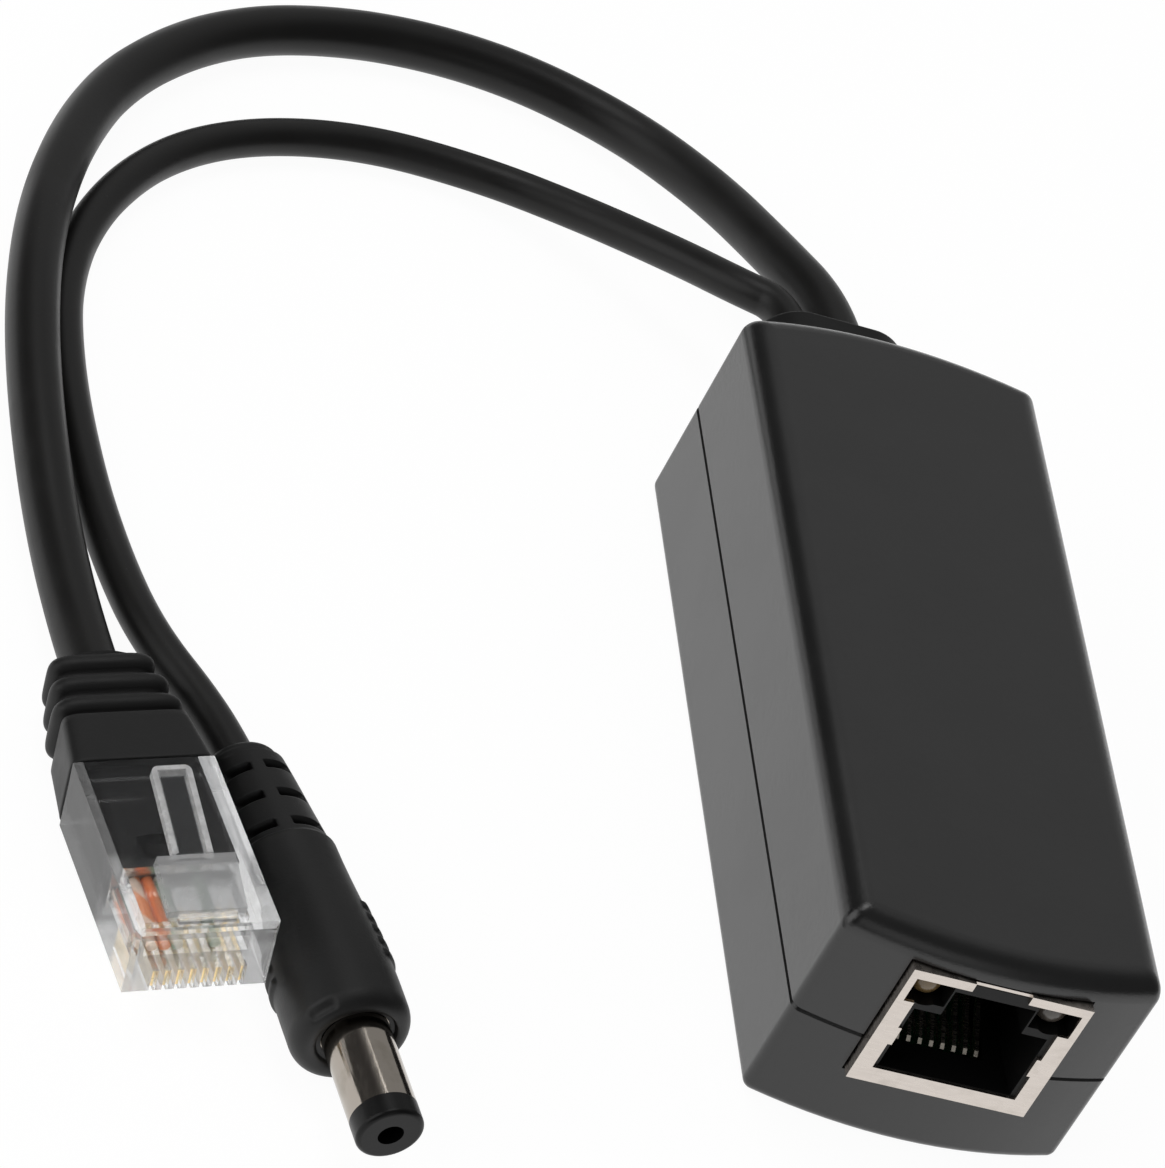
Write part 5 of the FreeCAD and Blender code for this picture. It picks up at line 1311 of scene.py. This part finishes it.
@dataclass
class RibbedBoot:
    """The modular plug's black boot: an insert, a smooth block and three soft ribs.

    Lengths are millimetres along the plug's own axes, from its nose.

    Attributes:
        seat: where the plug lies.
        middle: height of the boot's middle above the plug's underside.
        insert: the insert's front end, half width and half height.
        block: the block's front, its back, and half its width at each.
        block_half: half the block's height.
        pitch: ribs, front to front.
        groove: groove between two ribs, along the lead.
        deep: how deep a groove is.
        rib_halves: half the width of each rib.
        rib_heights: half the height of each rib.
        rise: how much higher each rib stands than the one before.
        swell: how full a rib's section is, fuller when smaller.
        around: points in a ring.
    """

    seat: Seat = MODULAR_SEAT
    middle: float = 3.3
    insert: Point = (8.0, 4.62, 2.08)
    block: tuple[float, float, float, float] = (19.62, 25.2, 5.94, 5.25)
    block_half: float = 3.4
    pitch: float = 2.55
    groove: float = 0.75
    deep: float = 0.85
    rib_halves: tuple[float, ...] = (5.45, 5.0, 4.5)
    rib_heights: tuple[float, ...] = (3.25, 3.0, 2.75)
    rise: float = 0.16
    swell: float = 0.4
    around: int = 120

    def solid_rows(self) -> list[tuple[float, ...]]:
        """Lists the sections of the insert and the block.

        Returns:
            Place, half width, half height, squareness and lift of each section.
        """
        start, half, height = self.insert
        front, waist, wide, narrow = self.block
        tall = self.block_half
        rows = [
            (start, half, height, 14.0, 0.0),
            (start + 0.05, half, height, 14.0, 0.0),
            (front - 0.06, half, height, 14.0, 0.0),
            (front - 0.01, half, height, 14.0, 0.0),
            (front, half + 0.05, height + 0.05, 12.0, 0.0),
            (front, wide - 0.1, tall - 0.1, 10.0, 0.0),
            (front + 0.05, wide - 0.02, tall - 0.02, 10.0, 0.0),
            (front + 0.15, wide, tall, 10.0, 0.0),
        ]
        for share in np.linspace(0.1, 0.98, 8):
            side = wide + (narrow - wide) * share
            rows.append((front + (waist - front) * share, side, tall, 10.0, 0.0))
        rows.append((waist - 0.03, narrow - 0.05, tall - 0.05, 9.0, 0.0))
        return rows

    def rib_rows(self, number: int) -> list[tuple[float, ...]]:
        """Lists the sections of one rib and of the groove before it.

        A rib swells by a power of half a sine.

        Args:
            number: which rib, counted from the plug.

        Returns:
            Place, half width, half height, squareness and lift of each section.
        """
        near = self.block[1] + number * self.pitch
        lift = self.rise * (number + 1)
        side, head = self.rib_halves[number], self.rib_heights[number]
        low_side, low_head = side - self.deep, head - self.deep
        rows = [
            (near, low_side + 0.1, low_head + 0.1, 6.0, lift),
            (near + 0.1, low_side, low_head, 6.0, lift),
            (near + self.groove - 0.1, low_side, low_head, 6.0, lift),
        ]
        for share in np.linspace(0.03, 0.97, 14):
            grow = self.deep * (math.sin(math.pi * share) ** self.swell - 1.0)
            place = near + self.groove + (self.pitch - self.groove) * share
            rows.append((place, side + grow, head + grow, 5.0, lift))
        return rows

    def rows(self) -> np.ndarray:
        """Lists the boot's sections from the insert's front to the lead.

        Returns:
            Place, half width, half height, squareness and lift of each section, as rows of five.
        """
        count = len(self.rib_halves)
        rows = self.solid_rows()
        for number in range(count):
            rows += self.rib_rows(number)
        end = self.block[1] + count * self.pitch
        rows.append((end, 2.8, 2.6, 3.0, self.rise * count))
        rows.append((end + 0.02, 2.2, 2.2, 2.0, self.rise * count))
        return np.array(rows)

    def build(self) -> bpy.types.Object:
        """Makes the boot from superellipses: |x / w|^n + |z / h|^n = 1, with w, h and n by place.

        Returns:
            The new piece.
        """
        place, half, height, square, lift = (column[:, None] for column in self.rows().T)
        turn = np.linspace(0.0, 2 * math.pi, self.around, endpoint=False)[None, :]
        cosine, sine = np.cos(turn), np.sin(turn)
        x = half * np.sign(cosine) * np.abs(cosine) ** (2.0 / square)
        z = self.middle + lift + height * np.sign(sine) * np.abs(sine) ** (2.0 / square)
        rings = self.seat.place(np.stack([x, place + 0.0 * turn, z], axis=-1))
        piece = ringed_surface("modular_plug_boot", rings, Paint.BOOT)
        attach(piece, BODY)
        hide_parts("plug_boot")
        LOG.info("boot's lowest point is %.2f mm up", rings[..., 2].min() / MM)
        return piece


@dataclass
class DressedPieces:
    """CAD pieces that keep their meshes and get finishes.

    Attributes:
        paints: each node's finish.
    """

    paints: dict[str, Paint]

    def build(self) -> None:
        """Gives every piece its finish.

        Returns:
            Nothing.
        """
        for node, paint in self.paints.items():
            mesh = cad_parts[node].data
            mesh.materials.clear()
            mesh.materials.append(MATERIALS[paint])
            LOG.info("%s is %s", node, paint.value.name)


@dataclass
class CaseAndJack(DressedPieces):
    """The case, the jack in its front end and what the case holds."""

    paints: dict[str, Paint] = field(
        default_factory=lambda: {
            "upper_shell": Paint.CASE,
            "lower_shell": Paint.CASE,
            "jack_shield": Paint.TINNED,
            "jack_insulator": Paint.INSULATOR,
            "jack_contacts": Paint.CONTACT,
            "jack_lamp_left": Paint.LAMP_AMBER,
            "jack_lamp_right": Paint.LAMP_GREY,
            "cord_strain_relief": Paint.RELIEF,
            "circuit_board": Paint.SOLDER_MASK,
            "signal_transformer": Paint.COMPONENT,
            "transformer_core": Paint.FERRITE,
            "transformer_bobbin": Paint.BOBBIN,
            "transformer_winding": Paint.TAPE,
            "input_capacitor": Paint.CAN_SLEEVE,
            "output_capacitor_left": Paint.CAN_SLEEVE,
            "output_capacitor_right": Paint.CAN_SLEEVE,
            "output_choke": Paint.FERRITE,
            "bridge_rectifier_left": Paint.COMPONENT,
            "bridge_rectifier_right": Paint.COMPONENT,
            "power_controller": Paint.COMPONENT,
            "optocoupler": Paint.COMPONENT,
            "output_diode": Paint.COMPONENT,
            "chip_resistors": Paint.RESISTOR,
            "chip_capacitors": Paint.CHIP_CERAMIC,
            "network_board_wires": Paint.WIRE_ORANGE,
            "dc_board_wires": Paint.WIRE_RED,
        }
    )


@dataclass
class Plugs(DressedPieces):
    """The clear modular plug with its latch, blades and wires, and the barrel plug's metal."""

    paints: dict[str, Paint] = field(
        default_factory=lambda: {
            "plug_body": Paint.CLEAR,
            "plug_latch": Paint.LATCH,
            "plug_contacts": Paint.GILT,
            "conductor_white_orange": Paint.WIRE_WHITE,
            "conductor_orange": Paint.WIRE_ORANGE,
            "conductor_white_green": Paint.WIRE_PALE,
            "conductor_green": Paint.WIRE_GREEN,
            "dc_plug_barrel": Paint.NICKEL,
            "dc_plug_insulator": Paint.TIP,
            "dc_plug_centre_contact": Paint.NICKEL,
        }
    )


def main() -> None:
    """Builds the view, the plugs' rubber, the leads, the case and the plugs in turn.

    Returns:
        Nothing.
    """
    logging.basicConfig(level=logging.INFO, format="%(name)s: %(message)s")
    StudioView().build()
    boot = RibbedBoot().build()
    grip = BarrelGrip().build()
    for lead in leads(boot, grip):
        lead.build()
    CaseAndJack().build()
    Plugs().build()


if __name__ == "__main__":
    main()
